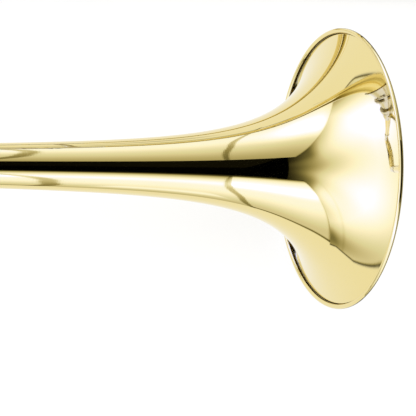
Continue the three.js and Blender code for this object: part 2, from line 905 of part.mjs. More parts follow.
function buildBumper() {
  const { socketRadius, socketLength, floor, rubberRadius, rubberProud, tipShare } = bumper;
  const mouth = crookApex + socketLength;
  const boreFloor = crookApex + floor + fitGap;
  const outline = [
    [crookApex - socketLength, 0],
    [crookApex - socketLength, socketRadius],
    [mouth, socketRadius],
    [mouth, rubberRadius + fitGap],
    [boreFloor, rubberRadius + fitGap],
    [boreFloor, 0],
  ];
  const socket = turned(outline).translate(0, 0, slideBend);
  add(upperAxis, "bumper_socket", geometryOf(cut(solid(socket), crookSeat())), nickelSilver());
  const tip = mouth + rubberProud;
  const rubber = turned([
    [boreFloor + fitGap, 0],
    [boreFloor + fitGap, rubberRadius],
    [tip - rubberRadius * (1 - tipShare), rubberRadius],
    [tip, rubberRadius * tipShare],
    [tip, 0],
  ]);
  add(upperAxis, "rubber_bumper", rubber.translate(0, 0, slideBend), blackRubber());
}

function buildOuterSlide() {
  add(upperAxis, "upper_outer_tube", outerTubeShape(), lacqueredBrass());
  add(lowerAxis, "lower_outer_tube", geometryOf(cut(solid(outerTubeShape()), drainHole())), lacqueredBrass());
  add(upperAxis, "upper_grip_sleeve", gripSleeveShape(), nickelSilver());
  add(lowerAxis, "lower_grip_sleeve", gripSleeveShape(), nickelSilver());
  add(upperAxis, "upper_crook_ferrule", crookFerruleShape(), nickelSilver());
  const drained = geometryOf(cut(solid(crookFerruleShape()), drainHole()));
  add(lowerAxis, "lower_crook_ferrule", drained, nickelSilver());
  buildSlideBrace("grip_brace", gripBraceX, gripRadius, gripRadius, brace.gripRodRadius, nickelSilver);
  buildEndCrook();
  buildBumper();
  buildLockPin();
}

// Water key

function buildNipple() {
  const seat = crookFerruleRadius + fitGap;
  const outline = [
    [0, 0],
    [0, key.nippleRadius + key.nippleFlange],
    [seat + key.nippleFlange, key.nippleRadius + key.nippleFlange],
    [seat + key.nippleFlange * 2, key.nippleRadius],
    [key.nippleTop, key.nippleRadius],
    [key.nippleTop, 0],
  ];
  const post = turned(outline, turnedSides).rotateY(-Math.PI / 2).translate(key.nippleX, 0, 0);
  const bed = rod(key.nippleX - key.baseLength, key.nippleX + key.baseLength, seat);
  add(lowerAxis, "water_key_nipple", geometryOf(cut(solid(post), bed, drainHole())), nickelSilver());
}

// A bar across the instrument, on the water key's pivot
function acrossPivot(from, to, radius) {
  return rod(from, to, radius, smallSides)
    .rotateZ(Math.PI / 2)
    .translate(key.pivotX, 0, key.pivotHeight);
}

function buildSaddle() {
  const seat = outerRadius + fitGap;
  const half = key.earInside + key.earThickness;
  const rear = key.pivotX - key.baseLength / 2;
  const front = key.pivotX + key.baseLength / 2;
  const bed = solid(rod(rear - overrun, front + overrun, seat));
  const shell = solid(rod(rear, front, seat + key.basePlate)).intersect(
    solid(block([rear - overrun, -half, 0], [front + overrun, half, key.pivotHeight])),
  );
  let saddle = shell;
  for (const side of [-1, 1]) {
    const edges = [key.earInside * side, half * side].sort((a, b) => a - b);
    const low = [key.pivotX - key.earRadius, edges[0], 0];
    const high = [key.pivotX + key.earRadius, edges[1], key.pivotHeight];
    saddle = saddle.add(solid(block(low, high))).add(solid(acrossPivot(edges[0], edges[1], key.earRadius)));
  }
  const hole = solid(acrossPivot(-half - overrun, half + overrun, key.pinRadius + fitGap));
  const whole = saddle.subtract(bed).subtract(hole);
  add(lowerAxis, "water_key_saddle", geometryOf(whole), nickelSilver());
  const reach = half + fitGap + key.pinHead;
  add(lowerAxis, "water_key_pin", acrossPivot(-reach, reach, key.pinRadius), springSteel());
}

function buildLever() {
  const roof = key.nippleTop + fitGap + key.corkHeight + fitGap;
  const top = roof + key.cupWall;
  const cupRadius = key.corkRadius + fitGap + key.cupWall;
  const cup = turned(
    [
      [top, 0],
      [top, cupRadius],
      [roof - key.cupDepth, cupRadius],
      [roof - key.cupDepth, cupRadius - key.cupWall],
      [roof, cupRadius - key.cupWall],
      [roof, 0],
    ],
    turnedSides,
  )
    .rotateY(-Math.PI / 2)
    .translate(key.nippleX, 0, 0);
  const barRear = key.pivotX - key.touchReach + key.touchLength / 2;
  const barLow = [barRear, -key.barWidth / 2, top - key.barThickness];
  const bar = block(barLow, [key.nippleX, key.barWidth / 2, top]);
  const touch = rod(0, key.touchThickness, 1, turnedSides)
    .rotateY(-Math.PI / 2)
    .scale(key.touchLength / 2, key.touchWidth / 2, 1)
    .translate(barRear, 0, top - key.touchThickness);
  const barrelEnd = -key.earInside + fitGap;
  const hinge = acrossPivot(barrelEnd, barrelEnd + key.barrelLength, key.barrelRadius);
  const bore = acrossPivot(-key.earInside, key.earInside, key.pinRadius + fitGap);
  const cupHollow = rod(roof - key.cupDepth - overrun, roof, cupRadius - key.cupWall, turnedSides)
    .rotateY(-Math.PI / 2)
    .translate(key.nippleX, 0, 0);
  const lever = cut(join(bar, touch, hinge, cup), bore, cupHollow);
  add(lowerAxis, "water_key_lever", geometryOf(lever), nickelSilver());
  const corkRear = key.nippleTop + fitGap;
  const cork = rod(corkRear, corkRear + key.corkHeight, key.corkRadius)
    .rotateY(-Math.PI / 2)
    .translate(key.nippleX, 0, 0);
  add(lowerAxis, "water_key_cork", cork, paleCork());
}

// The spring's centre line: the upper leg, the coil from its top to its underside, the lower leg
class SpringPath extends THREE.Curve {
  constructor() {
    super();
    this.coilLength = Math.hypot(2 * Math.PI * spring.coilRadius, spring.pitch) * spring.turns;
    this.total = spring.upperLeg + this.coilLength + spring.lowerLeg;
    this.startY = -key.earInside + fitGap * 2 + key.barrelLength + spring.wireRadius;
  }

  getPoint(t, target = new THREE.Vector3()) {
    const { upperLeg, lowerLeg, coilRadius, turns, pitch } = spring;
    const along = t * this.total;
    const coilAlong = THREE.MathUtils.clamp(along - upperLeg, 0, this.coilLength);
    const turn = (coilAlong / this.coilLength) * turns;
    const angle = 2 * Math.PI * turn;
    const before = Math.max(upperLeg - along, 0) / upperLeg;
    const after = Math.max(along - upperLeg - this.coilLength, 0) / lowerLeg;
    target.set(
      key.pivotX + coilRadius * Math.sin(angle) - before * upperLeg - after * lowerLeg,
      this.startY + pitch * turn,
      key.pivotHeight + coilRadius * Math.cos(angle) - before * spring.upperDrop - after * spring.lowerDrop,
    );
    return target;
  }

  // The least gap between the wire's neighbouring turns, measured on the coil's centre line
  leastGap() {
    const steps = spring.steps;
    const points = [];
    for (let i = 0; i <= steps; i++) {
      points.push(this.getPoint((spring.upperLeg + (this.coilLength * i) / steps) / this.total));
    }
    const halfTurn = Math.ceil(steps / spring.turns / 2);
    let least = Infinity;
    points.forEach((point, i) => {
      for (const other of points.slice(i + halfTurn)) least = Math.min(least, point.distanceTo(other));
    });
    return least - 2 * spring.wireRadius;
  }
}

function buildSpring() {
  const path = new SpringPath();
  const section = new THREE.Shape();
  for (let i = 0; i < spring.sides; i++) {
    const angle = (2 * Math.PI * i) / spring.sides;
    const point = [spring.wireRadius * Math.cos(angle), spring.wireRadius * Math.sin(angle)];
    if (i === 0) section.moveTo(...point);
    else section.lineTo(...point);
  }
  section.closePath();
  const options = { steps: spring.steps, extrudePath: path, bevelEnabled: false };
  add(lowerAxis, "water_key_spring", new THREE.ExtrudeGeometry(section, options), springSteel());
  console.log("water key spring: least gap " + path.leastGap().toFixed(2) + " mm");
}

// Laying the instrument down

// The instrument rests on three round edges: the mouthpiece's rim and the upper crook ferrule, which
// share the upper axis, and the bell's rim. The pitch follows from the two radii on one axis, and the
// roll from the bell's height above them.
function layDown(instrument) {
  const rest = { x: mouthpiece.rimX + mouthpiece.rimRound + mouthpiece.rimSide, radius: mouthpiece.rimRadius };
  const far = { x: crookFerrule.rear + crookFerrule.length, radius: crookFerruleRadius };
  const slope = (rest.radius - far.radius) / (rest.x - far.x);
  const rise = bell.rimRadius - rest.radius - slope * (-bell.beadRadius - rest.x);
  const apart = Math.hypot(bellToSlide, slideSpacing);
  const rolled = Math.acos(rise / apart) - Math.atan2(bellToSlide, slideSpacing);
  instrument.rotation.x = rolled;
  const pitched = new THREE.Group();
  pitched.rotation.y = Math.atan(-slope);
  pitched.add(instrument);
  const placed = new THREE.Group();
  placed.add(pitched);
  placed.updateMatrixWorld(true);
  const box = new THREE.Box3().setFromObject(placed, true);
  pitched.position.set(-(box.min.x + box.max.x) / 2, -(box.min.y + box.max.y) / 2, -box.min.z);
  return placed;
}

buildBell();
buildSleeve(bellAxis, "bell", bellTuning, bellRadius(bell.length - ferrule.length / 2), nickelSilver());
buildSleeve(lowerAxis, "neck", neckTuning, neckTuning.sleeveBore + drawnWall, nickelSilver());
buildGooseneck();
buildReceiver();
buildBellBraces();
buildTuningSlide();
buildInnerSlide();
buildLockNut();
buildSlideLock();
buildMouthpiece();
buildOuterSlide();
buildNipple();
buildSaddle();
buildLever();
buildSpring();

export default layDown(trombone);
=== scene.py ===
"""The visual model of a tenor trombone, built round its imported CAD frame.

Sizes are in millimetres in the instrument's own axes: the bell's axis is X, with the rim at nought and the
mouthpiece behind it, +Y leads across to the hand slide, and +Z is up. Placement turns them into the row's
metres.
"""

import json
import logging
import math
from collections.abc import Sequence
from dataclasses import dataclass
from enum import Enum
from functools import cache
from typing import Any

import bpy
import numpy as np
from mathutils import Matrix, Vector

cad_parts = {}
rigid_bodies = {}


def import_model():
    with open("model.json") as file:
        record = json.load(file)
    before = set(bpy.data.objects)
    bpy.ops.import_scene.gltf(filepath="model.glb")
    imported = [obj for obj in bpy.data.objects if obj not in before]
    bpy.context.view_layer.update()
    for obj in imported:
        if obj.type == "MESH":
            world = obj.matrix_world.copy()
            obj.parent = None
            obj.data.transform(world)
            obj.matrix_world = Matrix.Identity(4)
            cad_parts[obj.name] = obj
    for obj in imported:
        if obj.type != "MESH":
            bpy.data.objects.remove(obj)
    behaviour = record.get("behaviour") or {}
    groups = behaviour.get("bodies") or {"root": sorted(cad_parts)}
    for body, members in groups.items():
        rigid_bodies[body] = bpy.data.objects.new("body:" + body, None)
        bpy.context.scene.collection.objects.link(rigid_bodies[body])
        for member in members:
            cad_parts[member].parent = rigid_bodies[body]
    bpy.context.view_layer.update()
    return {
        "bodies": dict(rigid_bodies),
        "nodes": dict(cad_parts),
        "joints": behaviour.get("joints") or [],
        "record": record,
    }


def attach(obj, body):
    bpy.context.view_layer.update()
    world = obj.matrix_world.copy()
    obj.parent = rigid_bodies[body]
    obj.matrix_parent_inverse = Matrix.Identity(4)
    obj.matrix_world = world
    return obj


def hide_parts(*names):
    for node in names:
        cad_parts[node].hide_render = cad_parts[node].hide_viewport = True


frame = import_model()

MM = 0.001
TAU = 2 * math.pi
FIT_GAP = 0.3
BELL_TO_SLIDE = 140.0
SLIDE_SPACING = 88.0
LOCK_NUT_JOINT_X = -265.0
CREASE_DEG = 38.0
COARSE, MEDIUM, FINE = 48, 64, 96
log = logging.getLogger("trombone")

Outline = list[tuple[float, float]]
Faces = list[tuple[int, ...]]
Shape = tuple[np.ndarray, Faces]
Spot = tuple[float, float, float]
# A soft step as (from, to, value before, value after), and a bell curve as (centre, width, strength)
Step = tuple[float, float, float, float]
Hump = tuple[float, float, float]


# Places


def moved(points: np.ndarray, matrix: Matrix) -> np.ndarray:
    """Returns points moved by a matrix."""
    rows = np.array(matrix)
    return points @ rows[:3, :3].T + rows[:3, 3]


class Placement:
    """Where the instrument lies in the row's frame, read from its joints."""

    def __init__(self, joints: Sequence[dict[str, Any]]) -> None:
        """Works out the instrument's axes and origin.

        Args:
            joints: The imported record's joints.
        """
        by_name = {joint["name"]: joint for joint in joints}
        along = Vector(by_name["hand_slide"]["axis"]).normalized()
        across = -Vector(by_name["water_key_lift"]["axis"]).normalized()
        self.turn = Matrix((along, across, along.cross(across))).transposed()
        nut = Vector((LOCK_NUT_JOINT_X, BELL_TO_SLIDE, 0)) * MM
        origin = Vector(by_name["lock_nut_turn"]["pos_m"]) - self.turn @ nut
        self.matrix = Matrix.Translation(origin) @ self.turn.to_4x4() @ Matrix.Scale(MM, 4)

    def to_row(self, points: np.ndarray) -> np.ndarray:
        """Returns instrument points, in millimetres, as metres in the row's frame."""
        return moved(points, self.matrix)

    def to_instrument(self, points: np.ndarray) -> np.ndarray:
        """Returns row points, in metres, as millimetres in the instrument's axes."""
        return moved(points, self.matrix.inverted())


@dataclass(frozen=True)
class Seat:
    """An axis that a piece is turned about: its first local coordinate runs along the axis."""

    origin: Spot
    axis: Spot = (1, 0, 0)
    side: Spot = (0, 1, 0)

    def matrix(self) -> Matrix:
        """Returns the matrix from local to instrument coordinates."""
        axis, side = Vector(self.axis), Vector(self.side)
        return Matrix.Translation(self.origin) @ Matrix((axis, side, axis.cross(side))).transposed().to_4x4()

    def standing(self) -> Matrix:
        """Returns the matrix for a shape that is made round its own Z."""
        return self.matrix() @ Matrix(((0, 0, 1, 0), (1, 0, 0, 0), (0, 1, 0, 0), (0, 0, 0, 1)))


BELL_AXIS = Seat((0, 0, 0))
LOWER_AXIS = Seat((0, BELL_TO_SLIDE, 0))
UPPER_AXIS = Seat((0, BELL_TO_SLIDE, -SLIDE_SPACING))


def across_at(x: float) -> tuple[Seat, Seat]:
    """Returns the seats of a brace from the bell's axis to the lower slide tube's."""
    return Seat((x, 0, 0), (0, 1, 0), (1, 0, 0)), Seat((x, BELL_TO_SLIDE, 0), (0, -1, 0), (1, 0, 0))


def down_at(x: float) -> tuple[Seat, Seat]:
    """Returns the seats of a brace from the lower slide tube to the upper one."""
    lower, upper = (x, BELL_TO_SLIDE, 0), (x, BELL_TO_SLIDE, -SLIDE_SPACING)
    return Seat(lower, (0, 0, -1), (1, 0, 0)), Seat(upper, (0, 0, 1), (1, 0, 0))


def upright_at(x: float) -> Seat:
    """Returns the seat of a piece that stands on the lower slide tube."""
    return Seat((x, BELL_TO_SLIDE, 0), (0, 0, 1), (1, 0, 0))


# Node trees


class Term:
    """A number in a node tree that is summed, multiplied and shaped as a plain one is."""

    def __init__(self, tree: bpy.types.NodeTree, socket: bpy.types.NodeSocket) -> None:
        """Keeps the socket that gives the number, and its tree."""
        self.tree = tree
        self.socket = socket

    def made(self, operation: str, *others: "Term | float") -> "Term":
        """Returns this number and others put through a Math node."""
        inputs = dict(enumerate((self, *others)))
        return Term(self.tree, add(self.tree, "ShaderNodeMath", inputs, operation=operation).outputs[0])

    def __add__(self, other: "Term | float") -> "Term":
        """Returns the sum."""
        return self.made("ADD", other)

    def __sub__(self, other: "Term | float") -> "Term":
        """Returns the difference."""
        return self.made("SUBTRACT", other)

    def __mul__(self, other: "Term | float") -> "Term":
        """Returns the product."""
        return self.made("MULTIPLY", other)

    def __truediv__(self, other: "Term | float") -> "Term":
        """Returns the quotient."""
        return self.made("DIVIDE", other)

    def __pow__(self, other: "Term | float") -> "Term":
        """Returns the power."""
        return self.made("POWER", other)

    def rest(self) -> "Term":
        """Returns what this share leaves of one."""
        return self * -1.0 + 1

    def exp(self) -> "Term":
        """Returns e to the power of this number."""
        return self.made("EXPONENT")

    def at_least(self, other: "Term | float") -> "Term":
        """Returns the greater of two numbers."""
        return self.made("MAXIMUM", other)

    def at_most(self, other: "Term | float") -> "Term":
        """Returns the lesser of two numbers."""
        return self.made("MINIMUM", other)

    def smooth(self, low: float, high: float, start: float = 0.0, end: float = 1.0) -> "Term":
        """Makes a soft step.

        Args:
            low: Where the step starts.
            high: Where it ends.
            start: The result up to its start.
            end: The result from its end on.

        Returns:
            The result.
        """
        inputs = {"Value": self, "From Min": low, "From Max": high, "To Min": start, "To Max": end}
        node = add(self.tree, "ShaderNodeMapRange", inputs, interpolation_type="SMOOTHSTEP")
        return Term(self.tree, node.outputs["Result"])

    def hump(self, centre: float, width: float, strength: float = 1.0) -> "Term":
        """Returns a bell curve of this number, as high as its strength at the centre."""
        return ((((self - centre) / width) ** 2) * -1.0).exp() * strength

    def dimmed(self, mask: "Term") -> "Term":
        """Returns this number dimmed by a mask, to nought where the mask is one."""
        return self * mask.rest()

    def blend(self, other: "Term | float", share: "Term") -> "Term":
        """Returns this number where the share is nought, and the other where it is one."""
        return self * share.rest() + share * other


def plug(tree: bpy.types.NodeTree, slot: bpy.types.NodeSocket, value: Any) -> None:
    """Links or sets a socket.

    Args:
        tree: The tree that the socket is in.
        slot: The input socket.
        value: A Term, another socket, or a plain value.
    """
    if isinstance(value, Term):
        value = value.socket
    if isinstance(value, bpy.types.NodeSocket):
        tree.links.new(value, slot)
    else:
        slot.default_value = value


def add(
    tree: bpy.types.NodeTree, kind: str, inputs: dict[str | int, Any] | None = None, **settings: Any
) -> bpy.types.Node:
    """Adds a node to a tree.

    Args:
        tree: The tree.
        kind: The node's type.
        inputs: What its inputs are linked or set to, by name or number.
        settings: Its other settings.

    Returns:
        The node.
    """
    node = tree.nodes.new(kind)
    for name, value in settings.items():
        setattr(node, name, value)
    for slot, value in (inputs or {}).items():
        plug(tree, node.inputs[slot], value)
    return node


def mixed(tree: bpy.types.NodeTree, share: Any, first: Any, second: Any) -> bpy.types.NodeSocket:
    """Returns the mix of two colours, by a share of the second."""
    return add(tree, "ShaderNodeMix", {0: share, 6: first, 7: second}, data_type="RGBA").outputs[2]


def new_tree(
    name: str, kind: str, inputs: dict[str, tuple[str, Any]], outputs: dict[str, str]
) -> bpy.types.NodeTree:
    """Makes a node group with named sockets.

    Args:
        name: The group's name.
        kind: ShaderNodeTree or GeometryNodeTree.
        inputs: Each input's socket type and default value, or None for no default.
        outputs: Each output's socket type.

    Returns:
        The empty group, with its Group Input and Group Output nodes in place.
    """
    tree = bpy.data.node_groups.new(name, kind)
    for label, (socket_type, default) in inputs.items():
        socket = tree.interface.new_socket(label, in_out="INPUT", socket_type=socket_type)
        if default is not None:
            socket.default_value = default
    for label, socket_type in outputs.items():
        tree.interface.new_socket(label, in_out="OUTPUT", socket_type=socket_type)
    tree.nodes.new("NodeGroupInput")
    tree.nodes.new("NodeGroupOutput")
    return tree


def put(name: str, data: bpy.types.ID) -> bpy.types.Object:
    """Puts a new object in the scene.

    Args:
        name: The object's name.
        data: Its data.

    Returns:
        The object.
    """
    thing = bpy.data.objects.new(name, data)
    bpy.context.scene.collection.objects.link(thing)
    return thing


class MeshTree:
    """A geometry tree with named sizes and a material, whose result is kept as a plain mesh."""

    def __init__(self, name: str, sizes: dict[str, float], follows: str = "") -> None:
        """Makes the tree with its inputs.

        Args:
            name: The tree's name.
            sizes: Each size and its default, where a whole number makes a whole-number input.
            follows: The name of an input for the mesh to start from, or nothing where there is none.
        """
        inputs: dict[str, tuple[str, Any]] = {follows: ("NodeSocketGeometry", None)} if follows else {}
        for label, value in sizes.items():
            inputs[label] = ("NodeSocketInt" if isinstance(value, int) else "NodeSocketFloat", value)
        inputs["Material"] = ("NodeSocketMaterial", None)
        self.tree = new_tree(name, "GeometryNodeTree", inputs, {"Mesh": "NodeSocketGeometry"})
        self.given = self.tree.nodes["Group Input"].outputs
        self.size = {label: Term(self.tree, self.given[label]) for label in sizes}

    def add(self, kind: str, inputs: dict[str | int, Any] | None = None) -> bpy.types.NodeSocket:
        """Adds a node and returns its first output."""
        return add(self.tree, kind, inputs).outputs[0]

    def end(self, shape: bpy.types.NodeSocket) -> None:
        """Ends the tree, with its instances made real and its material set.

        Args:
            shape: The socket that gives the finished shape.
        """
        real = self.add("GeometryNodeRealizeInstances", {"Geometry": shape})
        dressed = self.add("GeometryNodeSetMaterial", {"Geometry": real, "Material": self.given["Material"]})
        plug(self.tree, self.tree.nodes["Group Output"].inputs["Mesh"], dressed)

    def run(
        self, sizes: dict[str, float], surface: "Surface", base: bpy.types.Mesh | None = None
    ) -> bpy.types.Mesh:
        """Runs the tree once and keeps its result.

        Args:
            sizes: The tree's sizes.
            surface: The finish.
            base: The mesh that the tree starts from, or None where it needs none.

        Returns:
            The finished mesh.
        """
        host = put(self.tree.name + "_host", base or bpy.data.meshes.new(self.tree.name))
        modifier = host.modifiers.new(self.tree.name, "NODES")
        modifier.node_group = self.tree
        values = {**sizes, "Material": surface.value.material()}
        for item in self.tree.interface.items_tree:
            if item.item_type == "SOCKET" and item.in_out == "INPUT" and item.name in values:
                modifier[item.identifier] = values[item.name]
        graph = bpy.context.evaluated_depsgraph_get()
        mesh = bpy.data.meshes.new_from_object(host.evaluated_get(graph))
        host.modifiers.remove(modifier)
        bpy.data.objects.remove(host)
        return mesh


# Finishes


@cache
def colour_drift() -> bpy.types.NodeTree:
    """Makes the group that drifts slowly between two colours of one metal or skin.

    Returns:
        The group, made once.
    """
    inputs = {
        "Vector": ("NodeSocketVector", None),
        "Scale": ("NodeSocketFloat", 20.0),
        "Light": ("NodeSocketColor", None),
        "Deep": ("NodeSocketColor", None),
        "Amount": ("NodeSocketFloat", 0.3),
    }
    tree = new_tree("colour_drift", "ShaderNodeTree", inputs, {"Color": "NodeSocketColor"})
    given = tree.nodes["Group Input"].outputs
    cloud = {"Detail": 3, "Vector": given["Vector"], "Scale": given["Scale"]}
    noise = Term(tree, add(tree, "ShaderNodeTexNoise", cloud).outputs["Fac"])
    share = noise.smooth(0.35, 0.7) * Term(tree, given["Amount"])
    colour = mixed(tree, share, given["Light"], given["Deep"])
    plug(tree, tree.nodes["Group Output"].inputs["Color"], colour)
    return tree


@cache
def hand_marks() -> bpy.types.NodeTree:
    """Makes the group of polishing lines and smears that handling leaves on a bright surface.

    Returns:
        The group, made once.
    """
    inputs = {
        "Vector": ("NodeSocketVector", None),
        "Lines": ("NodeSocketFloat", 900.0),
        "Smears": ("NodeSocketFloat", 30.0),
        "Low": ("NodeSocketFloat", 0.03),
        "High": ("NodeSocketFloat", 0.1),
    }
    outputs = {"Roughness": "NodeSocketFloat", "Height": "NodeSocketFloat"}
    tree = new_tree("hand_marks", "ShaderNodeTree", inputs, outputs)
    given, result = tree.nodes["Group Input"].outputs, tree.nodes["Group Output"].inputs
    where = {"Vector": given["Vector"]}
    lines = add(tree, "ShaderNodeTexNoise", {**where, "Scale": given["Lines"], "Detail": 4})
    cloud = {**where, "Scale": given["Smears"], "Detail": 5, "Distortion": 0.6}
    smear = Term(tree, add(tree, "ShaderNodeTexNoise", cloud).outputs["Fac"]).smooth(0.5, 0.72)
    low, high = Term(tree, given["Low"]), Term(tree, given["High"])
    plug(tree, result["Roughness"], low + (high - low) * smear)
    plug(tree, result["Height"], lines.outputs["Fac"])
    return tree


@dataclass(frozen=True)
class Finish:
    """A finish: its name, the record's slot, its two colours in linear light, and how rough it is."""

    name: str
    slot: str
    light: Spot
    deep: Spot
    roughness: tuple[float, float]
    metal: float = 1.0
    coat: float = 0.0
    coat_roughness: float = 0.02
    drift: float = 0.3
    drift_scale: float = 14.0
    stretch: Spot = (40.0, 1.0, 1.0)
    line_scale: float = 40.0
    bump: float = 0.02
    bump_depth: float = 0.1

    def dress(self, tree: bpy.types.NodeTree, shader: bpy.types.Node) -> None:
        """Feeds the shader with drifting colour, polishing lines and smears.

        Args:
            tree: The material's tree.
            shader: Its Principled shader.
        """
        where = tree.nodes.new("ShaderNodeTexCoord").outputs["Object"]
        drift = {
            "Vector": where,
            "Scale": self.drift_scale,
            "Amount": self.drift,
            "Light": (*self.light, 1),
            "Deep": (*self.deep, 1),
        }
        colour = add(tree, "ShaderNodeGroup", drift, node_tree=colour_drift()).outputs["Color"]
        drawn = add(tree, "ShaderNodeMapping", {"Vector": where, "Scale": self.stretch}).outputs["Vector"]
        low, high = self.roughness
        inputs = {"Vector": drawn, "Lines": self.line_scale, "Low": low, "High": high}
        marks = add(tree, "ShaderNodeGroup", inputs, node_tree=hand_marks())
        relief = {"Strength": self.bump, "Distance": self.bump_depth * MM, "Height": marks.outputs["Height"]}
        bump = add(tree, "ShaderNodeBump", relief)
        plug(tree, shader.inputs["Base Color"], colour)
        plug(tree, shader.inputs["Roughness"], marks.outputs["Roughness"])
        plug(tree, shader.inputs["Normal"], bump.outputs["Normal"])

    def material(self) -> bpy.types.Material:
        """Makes the finish's material.

        Returns:
            The material, made once.
        """
        if self.name in bpy.data.materials:
            return bpy.data.materials[self.name]
        material = bpy.data.materials.new(self.name)
        material.use_nodes = True
        material.diffuse_color = (*self.light, 1)
        shader = material.node_tree.nodes["Principled BSDF"]
        shader.inputs["Metallic"].default_value = self.metal
        shader.inputs["Coat Weight"].default_value = self.coat
        shader.inputs["Coat Roughness"].default_value = self.coat_roughness
        self.dress(material.node_tree, shader)
        return material


@dataclass(frozen=True)
class Speckled(Finish):
    """A dull finish with grains of a third colour, as cork and rubber have."""

    metal: float = 0.0
    stretch: Spot = (1.0, 1.0, 1.0)
    grain: Spot = (0.1, 0.05, 0.02)
    grain_scale: float = 900.0
    grain_share: tuple[float, float] = (0.57, 0.66)

    def dress(self, tree: bpy.types.NodeTree, shader: bpy.types.Node) -> None:
        """Adds grains to the drifting colour, and a coarse bump.

        Args:
            tree: The material's tree.
            shader: Its Principled shader.
        """
        super().dress(tree, shader)
        where = tree.nodes.new("ShaderNodeTexCoord").outputs["Object"]
        noise = add(tree, "ShaderNodeTexNoise", {"Vector": where, "Scale": self.grain_scale, "Detail": 2})
        mask = Term(tree, noise.outputs["Fac"]).smooth(*self.grain_share)
        base = shader.inputs["Base Color"].links[0].from_socket
        plug(tree, shader.inputs["Base Color"], mixed(tree, mask, base, (*self.grain, 1)))
        plug(tree, shader.inputs["Normal"].links[0].from_node.inputs["Height"], mask)


class Surface(Enum):
    """The finishes that the instrument has."""

    BRASS = Finish(
        "polished_brass", "lacquered_brass", (0.87, 0.735, 0.335), (0.84, 0.69, 0.28), (0.03, 0.05), coat=0.25
    )
    NICKEL = Finish(
        "bright_nickel_silver", "nickel_silver", (0.74, 0.70, 0.62), (0.66, 0.61, 0.52), (0.06, 0.13)
    )
    CHROME = Finish("bright_chrome", "hard_chrome", (0.72, 0.74, 0.77), (0.64, 0.66, 0.70), (0.03, 0.07))
    SILVER = Finish("polished_silver", "silver_plate", (0.93, 0.91, 0.86), (0.82, 0.78, 0.70), (0.04, 0.10))
    STEEL = Finish("drawn_steel", "spring_steel", (0.50, 0.51, 0.53), (0.34, 0.34, 0.35), (0.22, 0.34))
    CORK = Speckled(
        "pressed_cork", "cork", (0.52, 0.33, 0.17), (0.40, 0.24, 0.11), (0.85, 0.95), drift=0.7,
        drift_scale=160.0, bump=0.6, grain=(0.16, 0.08, 0.03),
    )
    RUBBER = Speckled(
        "moulded_rubber", "rubber", (0.022, 0.022, 0.023), (0.014, 0.014, 0.014), (0.62, 0.75), drift=0.5,
        bump=0.25, grain=(0.035, 0.034, 0.033), grain_scale=1500.0,
    )

    @classmethod
    def of_slot(cls, slot: str) -> "Surface":
        """Returns the finish of one of the record's material slots."""
        return next(surface for surface in cls if surface.value.slot == slot)


# Shapes


def rounded(corners: Outline, edge: float, closed: bool) -> Outline:
    """Rounds an outline's corners, with a point close to each side of a rounding to keep the flats flat.

    Args:
        corners: The outline's corners as (along, radius).
        edge: The rounding's radius, which is less where there is no room for it.
        closed: Whether the last corner joins the first.

    Returns:
        The rounded outline.
    """
    step, least_turn, least_flat = math.radians(15), math.radians(1), 1e-4
    room, flat_share = 0.47, 0.35
    points = [Vector(corner) for corner in corners]
    count = len(points)
    result: Outline = []
    for i, corner in enumerate(points):
        back, ahead = points[i - 1] - corner, points[(i + 1) % count] - corner
        is_end = not closed and i in (0, count - 1)
        turn = 0.0 if is_end else math.pi - back.angle(ahead)
        if turn < least_turn:
            result.append(tuple(corner))
            continue
        reach = min(edge * math.tan(turn / 2), back.length * room, ahead.length * room)
        start, end = corner + back.normalized() * reach, corner + ahead.normalized() * reach
        flat = min(reach * flat_share, back.length * room - reach, ahead.length * room - reach)
        steps = max(2, math.ceil(turn / step))
        bend = []
        for t in (k / steps for k in range(steps + 1)):
            bend.append(start * (1 - t) ** 2 + corner * (2 * t * (1 - t)) + end * t**2)
        if flat > least_flat:
            bend = [start + back.normalized() * flat, *bend, end + ahead.normalized() * flat]
        result += [tuple(point) for point in bend]
    return result


def ring_faces(rings: Sequence[Sequence[int]], closed: bool) -> Faces:
    """Makes the faces between rings of points, three-sided where a ring is one point.

    Args:
        rings: The points' numbers, ring by ring.
        closed: Whether the last ring joins the first.

    Returns:
        The faces.
    """
    faces: Faces = []
    for near, far in zip(rings, [*rings[1:], rings[0]] if closed else rings[1:]):
        for k in range(len(near)):
            other = (k + 1) % len(near)
            corners = dict.fromkeys((near[k], near[other], far[other], far[k]))
            if len(corners) > 2:
                faces.append(tuple(corners))
    return faces


def turned_shape(outline: Outline, closed: bool, sides: int) -> Shape:
    """Turns an outline about the first local axis.

    Args:
        outline: Points as (along, radius). An open outline starts and ends on the axis.
        closed: Whether the last point joins the first.
        sides: How many sides the turned shape has.

    Returns:
        Its points and faces.
    """
    points: list[Spot] = []
    rings: list[list[int]] = []
    for along, radius in outline:
        if abs(radius) < 1e-6:
            rings.append([len(points)] * sides)
            points.append((along, 0.0, 0.0))
            continue
        rings.append(list(range(len(points), len(points) + sides)))
        for angle in (TAU * k / sides for k in range(sides)):
            points.append((along, radius * math.cos(angle), radius * math.sin(angle)))
    return np.array(points), ring_faces(rings, closed)


def tube_shape(path: np.ndarray, radii: np.ndarray, wall: float, sides: int) -> Shape:
    """Sweeps a tube along a path that lies in a plane.

    Args:
        path: The path's points.
        radii: The outer radius at each point.
        wall: How thick the tube's wall is.
        sides: How many sides the section has.

    Returns:
        Its points and faces.
    """
    ahead = np.gradient(path, axis=0)
    ahead /= np.linalg.norm(ahead, axis=1, keepdims=True)
    level = np.cross(ahead[0], ahead[len(ahead) // 2])
    level /= np.linalg.norm(level)
    angle = TAU * np.arange(sides) / sides
    rows = [*range(len(path)), *reversed(range(len(path)))]
    points, rings = [], []
    for row, radius in zip(rows, [*radii, *(radii - wall)[::-1]]):
        out = np.cross(ahead[row], level)
        rings.append(range(len(points), len(points) + sides))
        points.extend(path[row] + radius * (np.outer(np.cos(angle), out) + np.outer(np.sin(angle), level)))
    return np.array(points), ring_faces(rings, True)


